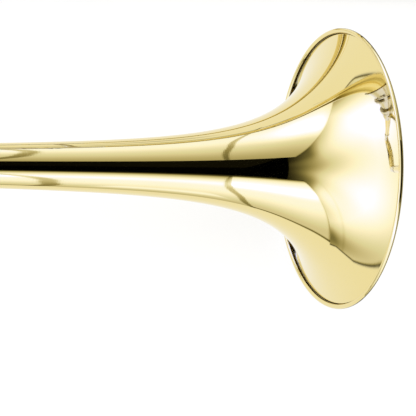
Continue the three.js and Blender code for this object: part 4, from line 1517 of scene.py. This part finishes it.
@dataclass
class WaterKey:
    """The water key: its nipple, saddle, pin, lever, cork and spring."""

    nipple_x: float = 411.0
    nipple_flange: float = 3.7
    nipple_neck: float = 2.7
    nipple_bore: float = 1.5
    nipple_heights: tuple[float, float, float, float, float] = (8.5, 10.3, 11.3, 13.2, 12.0)
    pivot: tuple[float, float] = (393.0, 13.8)
    seat_radius: float = 8.05
    base_plate: float = 1.1
    base_length: float = 12.0
    ear_inside: float = 5.4
    ear_thickness: float = 1.2
    ear_radius: float = 3.2
    ear_flare: float = 1.15
    saddle_crease: float = 30.0
    saddle_bevel: float = 0.22
    arc_steps: int = 24
    barrel_radius: float = 2.2
    barrel_bore: float = 1.1
    barrel_length: float = 6.4
    top: float = 17.0
    cup_radius: float = 4.3
    cup_low: float = 14.5
    cup_wall: float = 0.8
    bar_width: float = 2.6
    bar_thickness: float = 1.8
    bar_rear: float = 375.5
    bar_waist: float = 0.22
    bar_squareness: float = 0.7
    bar_steps: int = 24
    touch: Spot = (11.0, 9.0, 1.4)
    touch_dish: float = 0.45
    wire: float = 0.25
    wire_sides: int = 12
    coil: float = 1.9
    turns: float = 2.5
    pitch: float = 0.95
    spring_points: int = 220
    upper_leg: tuple[float, float] = (14.0, 1.1)
    lower_leg: tuple[float, float] = (9.5, 4.6)

    def nipple(self) -> Shape:
        """Makes the nipple: a flange on the tube, a neck and its bore.

        Returns:
            Its points and faces.
        """
        low, flange_top, neck_low, rim, floor = self.nipple_heights
        outline = [(low, 0.0), (low, self.nipple_flange), (flange_top, self.nipple_flange)]
        outline += [(neck_low, self.nipple_neck), (rim, self.nipple_neck)]
        outline += [(rim, self.nipple_bore), (floor, self.nipple_bore), (floor, 0.0)]
        return turned_shape(rounded(outline, 0.45, False), False, MEDIUM)

    def saddle(self) -> Shape:
        """Makes the saddle: a curved base plate and two rounded ears.

        Returns:
            Its points and faces.
        """
        half = self.ear_inside + self.ear_thickness
        low, high = self.seat_radius, self.seat_radius + self.base_plate
        spread = math.asin(half / high)
        angles = np.linspace(math.pi / 2 - spread, math.pi / 2 + spread, self.arc_steps + 1)
        ring = [(high * math.cos(a), high * math.sin(a)) for a in angles]
        ring += [(low * math.cos(a), low * math.sin(a)) for a in reversed(angles)]
        x, z = self.pivot
        rear = x - self.base_length / 2
        base, base_faces = slab_shape(ring, rear, rear + self.base_length)
        shapes = [(base[:, [2, 0, 1]], base_faces)]
        foot = math.sqrt(low**2 - self.ear_inside**2)
        arc = [math.pi * k / self.arc_steps for k in range(self.arc_steps + 1)]
        ear = [(x + self.ear_radius * math.cos(a), z + self.ear_radius * math.sin(a)) for a in arc]
        ear += [(x - self.ear_radius * self.ear_flare, foot), (x + self.ear_radius * self.ear_flare, foot)]
        for edges in ((-half, -self.ear_inside), (self.ear_inside, half)):
            points, faces = slab_shape(ear, *edges)
            shapes.append((points[:, [0, 2, 1]], faces))
        return joined(*shapes)

    def barrel(self) -> Shape:
        """Makes the lever's barrel, which turns on the pin.

        Returns:
            Its points and faces.
        """
        start = -self.ear_inside + FIT_GAP
        end = start + self.barrel_length
        outer = [(start, self.barrel_radius), (end, self.barrel_radius)]
        corners = [(start, self.barrel_bore), *outer, (end, self.barrel_bore)]
        outline = rounded(engraved(corners, True, (0.15, 0.85)), 0.3, True)
        points, faces = turned_shape(outline, True, COARSE)
        return points[:, [1, 0, 2]] + np.array([self.pivot[0], 0, self.pivot[1]]), faces

    def bar(self) -> Shape:
        """Makes the lever's bar, with soft corners and a slight waist.

        Returns:
            Its points and faces.
        """
        angles = TAU * np.arange(self.bar_steps) / self.bar_steps
        wide, high = (np.sign(t) * np.abs(t) ** self.bar_squareness for t in (np.cos(angles), np.sin(angles)))
        half = self.bar_thickness / 2
        points: list[Spot] = []
        rings: list[range] = []
        for x in np.linspace(self.bar_rear, self.nipple_x, self.bar_steps + 1):
            share = (x - self.bar_rear) / (self.nipple_x - self.bar_rear)
            width = self.bar_width / 2 * (1 - self.bar_waist * math.sin(math.pi * share))
            rings.append(range(len(points), len(points) + self.bar_steps))
            points += [(x, width * a, self.top - half + half * b) for a, b in zip(wide, high)]
        ends = [tuple(rings[0]), tuple(reversed(rings[-1]))]
        return np.array(points), ring_faces(rings, False) + ends

    def touch_plate(self) -> Shape:
        """Makes the dished oval plate that the finger rests on.

        Returns:
            Its points and faces.
        """
        length, width, thick = self.touch
        dish = self.touch_dish
        edge = [(0.0, 0.9), (thick * 0.35, 1.0), (thick * 0.8, 0.97), (thick, 0.88)]
        plate = [(0.0, 0.0), *edge, (thick - dish * 0.5, 0.6), (thick - dish, 0.0)]
        points, faces = turned_shape(plate, False, MEDIUM)
        x, y = points[:, 1] * length / 2 + self.bar_rear, points[:, 2] * width / 2
        return np.stack([x, y, points[:, 0] + self.top - thick], 1), faces

    def cup(self) -> Shape:
        """Makes the cup that holds the pad's cork.

        Returns:
            Its points and faces.
        """
        outer, inner, roof = self.cup_radius, self.cup_radius - self.cup_wall, self.top - self.cup_wall
        outline = [(self.top, 0.0), (self.top, outer), (self.cup_low, outer)]
        outline += [(self.cup_low, inner), (roof, inner), (roof, 0.0)]
        points, faces = turned_shape(rounded(outline, 0.5, False), False, MEDIUM)
        return np.stack([points[:, 1] + self.nipple_x, points[:, 2], points[:, 0]], 1), faces

    def wire_path(self) -> np.ndarray:
        """Lays the spring's centre line: upper leg, coil, lower leg.

        Returns:
            Its points.
        """
        coil_length = math.hypot(TAU * self.coil, self.pitch) * self.turns
        (upper, upper_drop), (lower, lower_drop) = self.upper_leg, self.lower_leg
        start = -self.ear_inside + FIT_GAP * 2 + self.barrel_length + self.wire
        rows = []
        for along in np.linspace(0, upper + coil_length + lower, self.spring_points):
            wound = min(max(along - upper, 0), coil_length) / coil_length * self.turns
            before, after = max(upper - along, 0), max(along - upper - coil_length, 0)
            drop = before / upper * upper_drop + after / lower * lower_drop
            x = self.pivot[0] + self.coil * math.sin(TAU * wound) - before - after
            z = self.pivot[1] + self.coil * math.cos(TAU * wound) - drop
            rows.append((x, start + self.pitch * wound, z))
        return np.array(rows)

    def spring(self, shop: Workshop) -> None:
        """Makes the torsion spring along its path.

        Args:
            shop: The workshop.
        """
        sizes = {"Wire Radius": self.wire}
        tree = MeshTree("spring_wire", sizes, "Path")
        circle = {"Resolution": self.wire_sides, "Radius": tree.size["Wire Radius"]}
        drawn = {
            "Curve": tree.add("GeometryNodeMeshToCurve", {0: tree.given["Path"]}),
            "Profile Curve": tree.add("GeometryNodeCurvePrimitiveCircle", circle),
            "Fill Caps": True,
        }
        tree.end(tree.add("GeometryNodeCurveToMesh", drawn))
        path = self.wire_path()
        line = bpy.data.meshes.new("spring_path")
        line.from_pydata(path.tolist(), [(k, k + 1) for k in range(len(path) - 1)], [])
        mesh = tree.run(sizes, Surface.STEEL, line)
        mesh.transform(shop.place.matrix @ LOWER_AXIS.matrix())
        node = "water_key_spring"
        shop.hang(node + ".wound", mesh, shop.body[node], Surface.STEEL, [node])

    def build(self, shop: Workshop) -> None:
        """Makes the whole sub-assembly.

        Args:
            shop: The workshop.
        """
        post = upright_at(self.nipple_x)
        shop.piece("water_key_nipple.turned", self.nipple(), ["water_key_nipple"], post)
        shop.turned("water_key_cork", post, edge=0.35, sides=MEDIUM)
        saddle, crease, bevel = self.saddle(), self.saddle_crease, self.saddle_bevel
        shop.piece("water_key_saddle.soldered", saddle, ["water_key_saddle"], LOWER_AXIS, crease, bevel)
        pin = Seat((self.pivot[0], BELL_TO_SLIDE, self.pivot[1]), (0, 1, 0), (1, 0, 0))
        shop.turned("water_key_pin", pin, edge=0.3, sides=COARSE)
        lever = joined(self.barrel(), self.bar(), self.touch_plate(), self.cup())
        shop.piece("water_key_lever.forged", lever, ["water_key_lever"], LOWER_AXIS)
        self.spring(shop)


# The studio


@dataclass(frozen=True)
class Tone:
    """How a colour channel follows the light: a tint where it is dim, and knees where it is bright."""

    tint: Step = (0.0, 1.0, 1.0, 1.0)
    knees: tuple[tuple[float, float], ...] = ()

    def of(self, level: Term) -> Term:
        """Works out the channel's value.

        Args:
            level: The light's brightness.

        Returns:
            The value.
        """
        tone = level * level.smooth(*self.tint)
        for slope, start in self.knees:
            tone = tone.at_most(level * slope + start)
        return tone


WARM_TONES = {
    "Red": Tone((0.3, 0.9, 1.08, 1.0), ((0.45, 0.44), (0.04, 1.07))),
    "Green": Tone(knees=((0.45, 0.48), (0.1, 1.07))),
    "Blue": Tone((0.1, 0.9, 0.5, 1.0)),
}


@cache
def tent_light() -> bpy.types.NodeTree:
    """Makes the group that colours the tent's light: warm where it is dim, near white where it is bright.

    Returns:
        The group, made once.
    """
    inputs = {"Level": ("NodeSocketFloat", 1.0), "Plain": ("NodeSocketFloat", 0.0)}
    tree = new_tree("tent_light", "ShaderNodeTree", inputs, {"Color": "NodeSocketColor"})
    level, even = (Term(tree, tree.nodes["Group Input"].outputs[label]) for label in inputs)
    tones = {channel: tone.of(level) for channel, tone in WARM_TONES.items()}
    mixes = {channel: tone + even * (level - tone) for channel, tone in tones.items()}
    colour = add(tree, "ShaderNodeCombineColor", mixes).outputs[0]
    plug(tree, tree.nodes["Group Output"].inputs["Color"], colour)
    return tree


@dataclass(frozen=True)
class Glow:
    """A soft patch on a wall: its centre and width across and in height, and its strength."""

    across: tuple[float, float]
    height: tuple[float, float]
    strength: float

    def on(self, over: Term, height: Term) -> Term:
        """Returns the patch's brightness at a place on the wall."""
        return over.hump(*self.across) * height.hump(*self.height, self.strength)


@dataclass(frozen=True)
class BackWall:
    """The tent's back wall, whose brightness is told by direction alone."""

    strength: float = 1.5
    fall: float = 0.49
    glows: tuple[Glow, ...] = (
        Glow((0.25, 0.19), (-0.19, 0.16), 1.55),
        Glow((-0.17, 0.19), (-0.1, 0.8), 1.15),
        Glow((-0.63, 0.23), (0.5, 0.33), 0.7),
    )
    flanks: tuple[Hump, Hump] = ((0.44, 0.32, 1.8), (-0.44, 0.32, 0.82))
    corner: Glow = Glow((-1.0, 0.12), (-0.4, 0.3), 0.5)
    upper_sides: tuple[Step, Step] = ((0.1, 0.5, 0.0, 0.68), (-0.1, -0.5, 0.0, 0.42))
    upper: tuple[float, float] = (0.6, 1.05)
    low_band: Hump = (-0.41, 0.38, 0.74)
    fold: Hump = (-0.66, 0.025, 0.14)
    fold_slope: float = 0.36
    fold_top: tuple[float, float] = (0.9, 0.5)

    def level(self, over: Term, height: Term) -> Term:
        """Works out the wall's brightness.

        Args:
            over: How far across the wall, in its units of height.
            height: How high above the bell's axis.

        Returns:
            The brightness.
        """
        level = (height.at_least(0.0) / self.fall * -1.0).exp() * self.strength
        for glow in self.glows:
            level = level + glow.on(over, height)
        bright, dim = self.flanks
        level = level * (over.hump(*bright) + over.hump(*dim) + 1)
        near, far = (over.smooth(*side) for side in self.upper_sides)
        fold = (over - height * self.fold_slope).hump(*self.fold) * height.smooth(*self.fold_top)
        shades = (
            self.corner.on(over, height),
            (near + far) * height.smooth(*self.upper),
            height.hump(*self.low_band),
            fold,
        )
        for shade in shades:
            level = level.dimmed(shade)
        return level


@dataclass(frozen=True)
class SideWall:
    """A side wall of the tent, which leans in and has a seam, a dark foot line and a slanted back edge."""

    name: str
    side: int
    distance: float
    lean: float
    top_share: float
    back_edge: tuple[float, float]
    seam: Step
    foot_lines: tuple[Hump, Hump]

    def plain(self, height: Term) -> Term:
        """Returns the wall's brightness by height alone."""
        raise NotImplementedError

    def lit(self, x: Term, height: Term, behind: Term) -> Term:
        """Returns the wall's brightness with its patches; behind is one behind the seam."""
        raise NotImplementedError

    def foot(self, x: Term) -> Term:
        """Returns how high the wall's foot is."""
        raise NotImplementedError

    def corners(self, base: float, front: float) -> list[Spot]:
        """Places the wall's corners.

        Args:
            base: How low it reaches.
            front: How far forward it reaches.

        Returns:
            The corners in order, in instrument millimetres.
        """
        top = self.top_share * self.distance / (1 + self.lean * self.top_share)
        edge, slope = self.back_edge
        places = ((edge + slope * base, base), (front, base), (front, top), (edge + slope * top, top))
        return [(x, self.side * (self.distance - self.lean * z), z) for x, z in places]

    def level(self, x: Term, z: Term, floor_level: float, front: float) -> tuple[Term, Term]:
        """Works out the wall's brightness, with the floor below its foot.

        Args:
            x: How far along the instrument.
            z: How high above the bell's axis.
            floor_level: The floor's brightness.
            front: Where the wall ends.

        Returns:
            The brightness, and the share of floor.
        """
        seam_width, seam_depth, seam_soft = (5, 10), 0.66, 4
        edge_width, edge_depth = 16.0, 0.55
        foot_soft, fade_length, fade_end = 5, 110, 0.05
        height = z / (z * -self.lean + self.distance)
        seam = x - height.smooth(*self.seam)
        behind = seam.smooth(-seam_soft, seam_soft, 1.0, 0.0)
        above = z - self.foot(x)
        rear_foot, front_foot = self.foot_lines
        foot = above.hump(*rear_foot) * behind + above.hump(*front_foot) * behind.rest()
        edge, slope = self.back_edge
        level = self.lit(x, height, behind).dimmed(foot)
        level = level.dimmed(seam.made("ABSOLUTE").smooth(*seam_width, seam_depth, 0.0))
        level = level.dimmed((x - z * slope).hump(edge, edge_width, edge_depth))
        is_floor = above.smooth(-foot_soft, foot_soft, 1.0, 0.0)
        fade = x.smooth(front - fade_length, front, 1.0, fade_end)
        return level.blend(floor_level, is_floor) * fade, is_floor


@dataclass(frozen=True)
class LeftWall(SideWall):
    """The wall on the hand slide's side."""

    name: str = "tent_left"
    side: int = 1
    distance: float = 780.0
    lean: float = 0.55
    top_share: float = 2.45
    back_edge: tuple[float, float] = (-624.0, 0.22)
    seam: Step = (0.0, 0.7, -12.0, -33.0)
    foot_lines: tuple[Hump, Hump] = ((40.0, 24.0, 0.8), (75.0, 70.0, 0.64))
    band: Hump = (0.15, 0.3, 0.52)
    lift: Hump = (0.24, 0.3, 1.0)
    lift_front: Step = (-300.0, -40.0, 2.2, 0.4)
    lift_rear: Step = (-640.0, -460.0, 0.2, 1.0)

    def plain(self, height: Term) -> Term:
        """Returns the wall's brightness by height alone."""
        fall = (height.at_least(0.0) ** 1.6 * -1.0).exp()
        return fall * 0.95 + height.hump(*self.band) + 0.44

    def lit(self, x: Term, height: Term, behind: Term) -> Term:
        """Returns the wall's brightness, lifted behind the seam."""
        lift = height.hump(*self.lift) * x.smooth(*self.lift_front) * x.smooth(*self.lift_rear)
        return self.plain(height) + behind * lift

    def foot(self, x: Term) -> Term:
        """Returns how high the wall's foot is, along a straight line."""
        return x * 0.068 - 279


@dataclass(frozen=True)
class RightWall(SideWall):
    """The wall on the bell's side."""

    name: str = "tent_right"
    side: int = -1
    distance: float = 620.0
    lean: float = 0.22
    top_share: float = 2.4
    back_edge: tuple[float, float] = (-488.0, -0.15)
    seam: Step = (-0.5, 0.25, 6.0, -36.0)
    foot_lines: tuple[Hump, Hump] = ((28.0, 22.0, 0.85), (30.0, 60.0, 0.2))
    rise: Step = (-0.25, 0.45, 0.75, 1.95)
    band: Hump = (0.88, 0.2, 0.95)
    top_fade: Step = (1.6, 2.35, 1.0, 0.02)
    front_fade: Step = (1.05, 1.75, 1.0, 0.38)
    rear_lift: Step = (0.5, 1.0, 0.0, 0.5)
    stripe: Hump = (-0.03, 0.1, 0.75)
    stripe_start: tuple[float, float] = (8.0, 18.0)
    foot_step: Step = (-650.0, -250.0, -390.0, -262.0)

    def plain(self, height: Term) -> Term:
        """Returns the wall's brightness by height alone."""
        return (height.smooth(*self.rise) + height.hump(*self.band)) * height.smooth(*self.top_fade)

    def lit(self, x: Term, height: Term, behind: Term) -> Term:
        """Returns the wall's brightness, dimmer high up in front, with a stripe in front of the seam."""
        share = height.smooth(*self.front_fade) + behind * height.smooth(*self.rear_lift)
        return self.plain(height) * share + x.smooth(*self.stripe_start) * height.hump(*self.stripe)

    def foot(self, x: Term) -> Term:
        """Returns how high the wall's foot is, along a soft step."""
        return x.smooth(*self.foot_step)


@dataclass
class Tent:
    """The white light tent that bright surfaces mirror.

    Its side walls and floor are cards. Its back wall, which has no card, lies in the world, and is open
    above and in front. Each wall's height is counted in shares of its distance at that height, as a mirror
    shows it.
    """

    left: SideWall = LeftWall()
    right: SideWall = RightWall()
    back: BackWall = BackWall()
    base: float = -400.0
    floor_back: float = -400.0
    front: float = 300.0
    floor_level: float = 0.98
    floor_fade: Step = (100.0, 260.0, 0.98, 0.1)
    back_slope: float = 1.316
    front_slope: float = 0.25
    corner_slope: float = 1.6
    back_top: float = 2.05
    far_gain: float = 1.5
    far_foot: tuple[float, float, float] = (0.7, -0.45, -0.25)
    far_foot_left: Step = (0.72, 0.95, 0.0, 0.14)
    far_foot_right: Step = (0.0, -0.5, 0.0, -0.03)
    far_foot_line: Hump = (0.0, 0.02, 0.85)
    far_fade: Step = (0.25, 0.4, 1.0, 0.02)
    above_level: float = 0.008
    front_glow: Step = (0.48, 0.62, 0.0, 0.4)
    front_top: Step = (0.35, 0.6, 1.0, 0.03)

    def far_level(self, tree: bpy.types.NodeTree) -> tuple[Term, Term]:
        """Works out the tent's brightness by direction alone, for what the cards leave open.

        Args:
            tree: The world's tree.

        Returns:
            The brightness, and the share of floor.
        """
        soft, side_soft, corner_soft, least = 0.02, 0.01, 0.012, 0.001
        spot = {0: tree.nodes.new("ShaderNodeTexCoord").outputs["Generated"]}
        direction = add(tree, "ShaderNodeSeparateXYZ", spot).outputs
        dx, dy, dz = (Term(tree, direction[axis]) for axis in "XYZ")
        beside = dy.made("ABSOLUTE")
        away = (dx * -self.back_slope).at_least(dx * self.front_slope).at_least(beside).at_least(least)
        over, height = dy / away, dz / away
        sides = self.right.plain(height).blend(self.left.plain(height), dy.smooth(-side_soft, side_soft))
        on_back = (dx * -self.corner_slope - beside).smooth(-corner_soft, corner_soft)
        level = (sides * self.far_gain).blend(self.back.level(over, height), on_back)
        widest, slope, start = self.far_foot
        foot = over.made("ABSOLUTE").at_most(widest) * slope + start
        foot = foot + over.smooth(*self.far_foot_left) + over.smooth(*self.far_foot_right)
        rise = height - foot
        is_floor = rise.smooth(-soft, soft, 1.0, 0.0)
        level = level.blend(self.floor_level, is_floor).dimmed(rise.hump(*self.far_foot_line))
        top = on_back * (self.back_top - self.left.top_share) + self.left.top_share
        level = level * dx.smooth(*self.far_fade) * (height - top).smooth(-soft, soft, 1.0, self.above_level)
        return level + dx.smooth(*self.front_glow) * dz.smooth(*self.front_top), is_floor

    def card(
        self, shop: Workshop, name: str, corners: Sequence[Spot], axes: tuple[int, int]
    ) -> tuple[Term, Term]:
        """Makes a card that only bright surfaces see.

        Args:
            shop: The workshop, for the instrument's place.
            name: The card's name.
            corners: Its corners in order, in instrument millimetres.
            axes: The two axes whose millimetres its map holds.

        Returns:
            The place on the card along both axes, in the tree of its material.
        """
        mesh = bpy.data.meshes.new(name)
        mesh.from_pydata(shop.place.to_row(np.array(corners, float)).tolist(), [], [(0, 1, 2, 3)])
        spots = mesh.uv_layers.new(name="UVMap")
        for spot, corner in zip(spots.data, corners):
            spot.uv = (corner[axes[0]], corner[axes[1]])
        card = put(name, mesh)
        for ray in ("camera", "diffuse", "shadow", "volume_scatter"):
            setattr(card, "visible_" + ray, False)
        material = bpy.data.materials.new(name)
        material.use_nodes = True
        tree = material.node_tree
        tree.nodes.clear()
        glow = tree.nodes.new("ShaderNodeEmission")
        add(tree, "ShaderNodeOutputMaterial", {"Surface": glow.outputs[0]})
        mesh.materials.append(material)
        spot = add(tree, "ShaderNodeSeparateXYZ", {0: tree.nodes.new("ShaderNodeTexCoord").outputs["UV"]})
        return Term(tree, spot.outputs["X"]), Term(tree, spot.outputs["Y"])

    def light(self, level: Term, even: Term | float) -> bpy.types.NodeSocket:
        """Returns the tent's colour at a brightness, plain where the second number is one."""
        inputs = {"Level": level, "Plain": even}
        return add(level.tree, "ShaderNodeGroup", inputs, node_tree=tent_light()).outputs["Color"]

    def glow(self, level: Term, even: Term | float) -> None:
        """Lights the card that a brightness belongs to."""
        plug(level.tree, level.tree.nodes["Emission"].inputs["Color"], self.light(level, even))

    def build(self, shop: Workshop, world: bpy.types.NodeTree) -> bpy.types.NodeSocket:
        """Makes the cards, and the part of the tent that lies in the world.

        Args:
            shop: The workshop, for the instrument's place.
            world: The world's tree.

        Returns:
            The socket with the tent's colour by direction.
        """
        edges = []
        for wall in (self.left, self.right):
            place = self.card(shop, wall.name, wall.corners(self.base, self.front), (0, 2))
            self.glow(*wall.level(*place, self.floor_level, self.front))
            edges.append(wall.side * (wall.distance - wall.lean * self.base))
        left, right = edges
        spots = ((self.floor_back, right), (self.front, right), (self.front, left), (self.floor_back, left))
        x, _ = self.card(shop, "tent_floor", [(*spot, self.base) for spot in spots], (0, 1))
        self.glow(x.smooth(*self.floor_fade), 1.0)
        return self.light(*self.far_level(world))


@dataclass
class Studio:
    """The pale floor, the tent, the soft lamp and the camera."""

    view_deg: float = 26.22
    roll_deg: float = 0.52
    distance: float = 2500.0
    focal_pixels: float = 3434.0
    image_pixels: float = 416.0
    sensor: float = 36.0
    clip: tuple[float, float] = (0.05, 50.0)
    rim_pixel: tuple[float, float] = (340.05, 168.65)
    plain_light: float = 0.75
    lamp_power: float = 18.0
    lamp_size: tuple[float, float] = (1.6, 1.2)
    lamp_place: Spot = (-0.5, 0.7, 1.9)
    floor_half: float = 4.0
    floor_drop: float = 0.2
    floor_grey: float = 0.30
    floor_glow: float = 0.78
    floor_roughness: float = 0.9

    def camera(self, shop: Workshop) -> None:
        """Puts the camera where the rim and the stem fall on their places in the frame.

        Args:
            shop: The workshop, for the instrument's place.
        """
        turn, roll = math.radians(self.view_deg), math.radians(self.roll_deg)
        back = Vector((-math.sin(turn), 0, math.cos(turn)))
        right, up = Vector((math.cos(turn), 0, math.sin(turn))), Vector((0, 1, 0))
        rolled_right = right * math.cos(roll) + up * math.sin(roll)
        rolled_up = up * math.cos(roll) - right * math.sin(roll)
        level = Matrix((rolled_right, rolled_up, back)).transposed()
        half = self.image_pixels / 2
        ray = Vector((self.rim_pixel[0] - half, half - self.rim_pixel[1], -self.focal_pixels)).normalized()
        pan = ray.rotation_difference(Vector((0, 0, -1))).to_matrix()
        data = bpy.data.cameras.new("studio_camera")
        data.lens = self.focal_pixels / self.image_pixels * self.sensor
        data.sensor_width = self.sensor
        data.clip_start, data.clip_end = self.clip
        camera = put("studio_camera", data)
        camera.matrix_world = (shop.place.turn @ level @ pan).to_4x4()
        camera.location = shop.place.matrix @ (back * self.distance)
        bpy.context.scene.camera = camera

    def world(self, shop: Workshop) -> None:
        """Makes the world: plain light for dull surfaces, the tent for bright ones, and white behind.

        Args:
            shop: The workshop, for the tent.
        """
        world = bpy.data.worlds.new("white_tent")
        bpy.context.scene.world = world
        world.use_nodes = True
        tree = world.node_tree
        ray = tree.nodes.new("ShaderNodeLightPath").outputs
        seen = Term(tree, ray["Is Camera Ray"]) * (1 - self.plain_light) + self.plain_light
        mirrored = Term(tree, ray["Is Glossy Ray"]).at_least(Term(tree, ray["Is Transmission Ray"]))
        plain = add(tree, "ShaderNodeCombineColor", dict.fromkeys(("Red", "Green", "Blue"), seen)).outputs[0]
        colour = mixed(tree, mirrored, plain, Tent().build(shop, tree))
        plug(tree, tree.nodes["Background"].inputs["Color"], colour)

    def floor(self) -> None:
        """Makes the pale floor, which is white to the camera and still takes the object's shadow."""
        half, low = self.floor_half, -self.floor_drop * MM
        mesh = bpy.data.meshes.new("floor")
        corners = [(-half, -half, low), (half, -half, low), (half, half, low), (-half, half, low)]
        mesh.from_pydata(corners, [], [(0, 1, 2, 3)])
        floor = put("floor", mesh)
        material = bpy.data.materials.new("pale_floor")
        material.use_nodes = True
        tree = material.node_tree
        shader = tree.nodes["Principled BSDF"].inputs
        shader["Base Color"].default_value = (self.floor_grey, self.floor_grey, self.floor_grey, 1)
        shader["Roughness"].default_value = self.floor_roughness
        shader["Specular IOR Level"].default_value = 0.0
        shader["Emission Color"].default_value = (1, 1, 1, 1)
        seen = Term(tree, tree.nodes.new("ShaderNodeLightPath").outputs["Is Camera Ray"])
        plug(tree, shader["Emission Strength"], seen * self.floor_glow)
        mesh.materials.append(material)
        floor.visible_glossy = False
        floor.visible_transmission = False

    def lamp(self) -> None:
        """Hangs one broad soft lamp, which only dull surfaces and the floor's shadow show."""
        data = bpy.data.lights.new("soft_lamp", "AREA")
        data.shape = "RECTANGLE"
        data.size, data.size_y = self.lamp_size
        data.energy = self.lamp_power
        lamp = put("soft_lamp", data)
        lamp.location = self.lamp_place
        lamp.rotation_mode = "QUATERNION"
        lamp.rotation_quaternion = (-lamp.location).to_track_quat("-Z", "Y")
        lamp.visible_glossy = False

    def build(self, shop: Workshop) -> None:
        """Makes the whole studio.

        Args:
            shop: The workshop, for the instrument's place.
        """
        self.camera(shop)
        self.world(shop)
        self.floor()
        self.lamp()
        bpy.context.scene.view_settings.view_transform = "Standard"


def main() -> None:
    """Builds the studio and the sub-assemblies in order."""
    logging.basicConfig(level=logging.INFO, format="%(message)s")
    shop = Workshop(frame)
    Studio().build(shop)
    parts = (BellSection, TuningSlide, InnerSlide, LockNut, SlideLock, Mouthpiece, OuterSlide, WaterKey)
    for part in parts:
        part().build(shop)


if __name__ == "__main__":
    main()
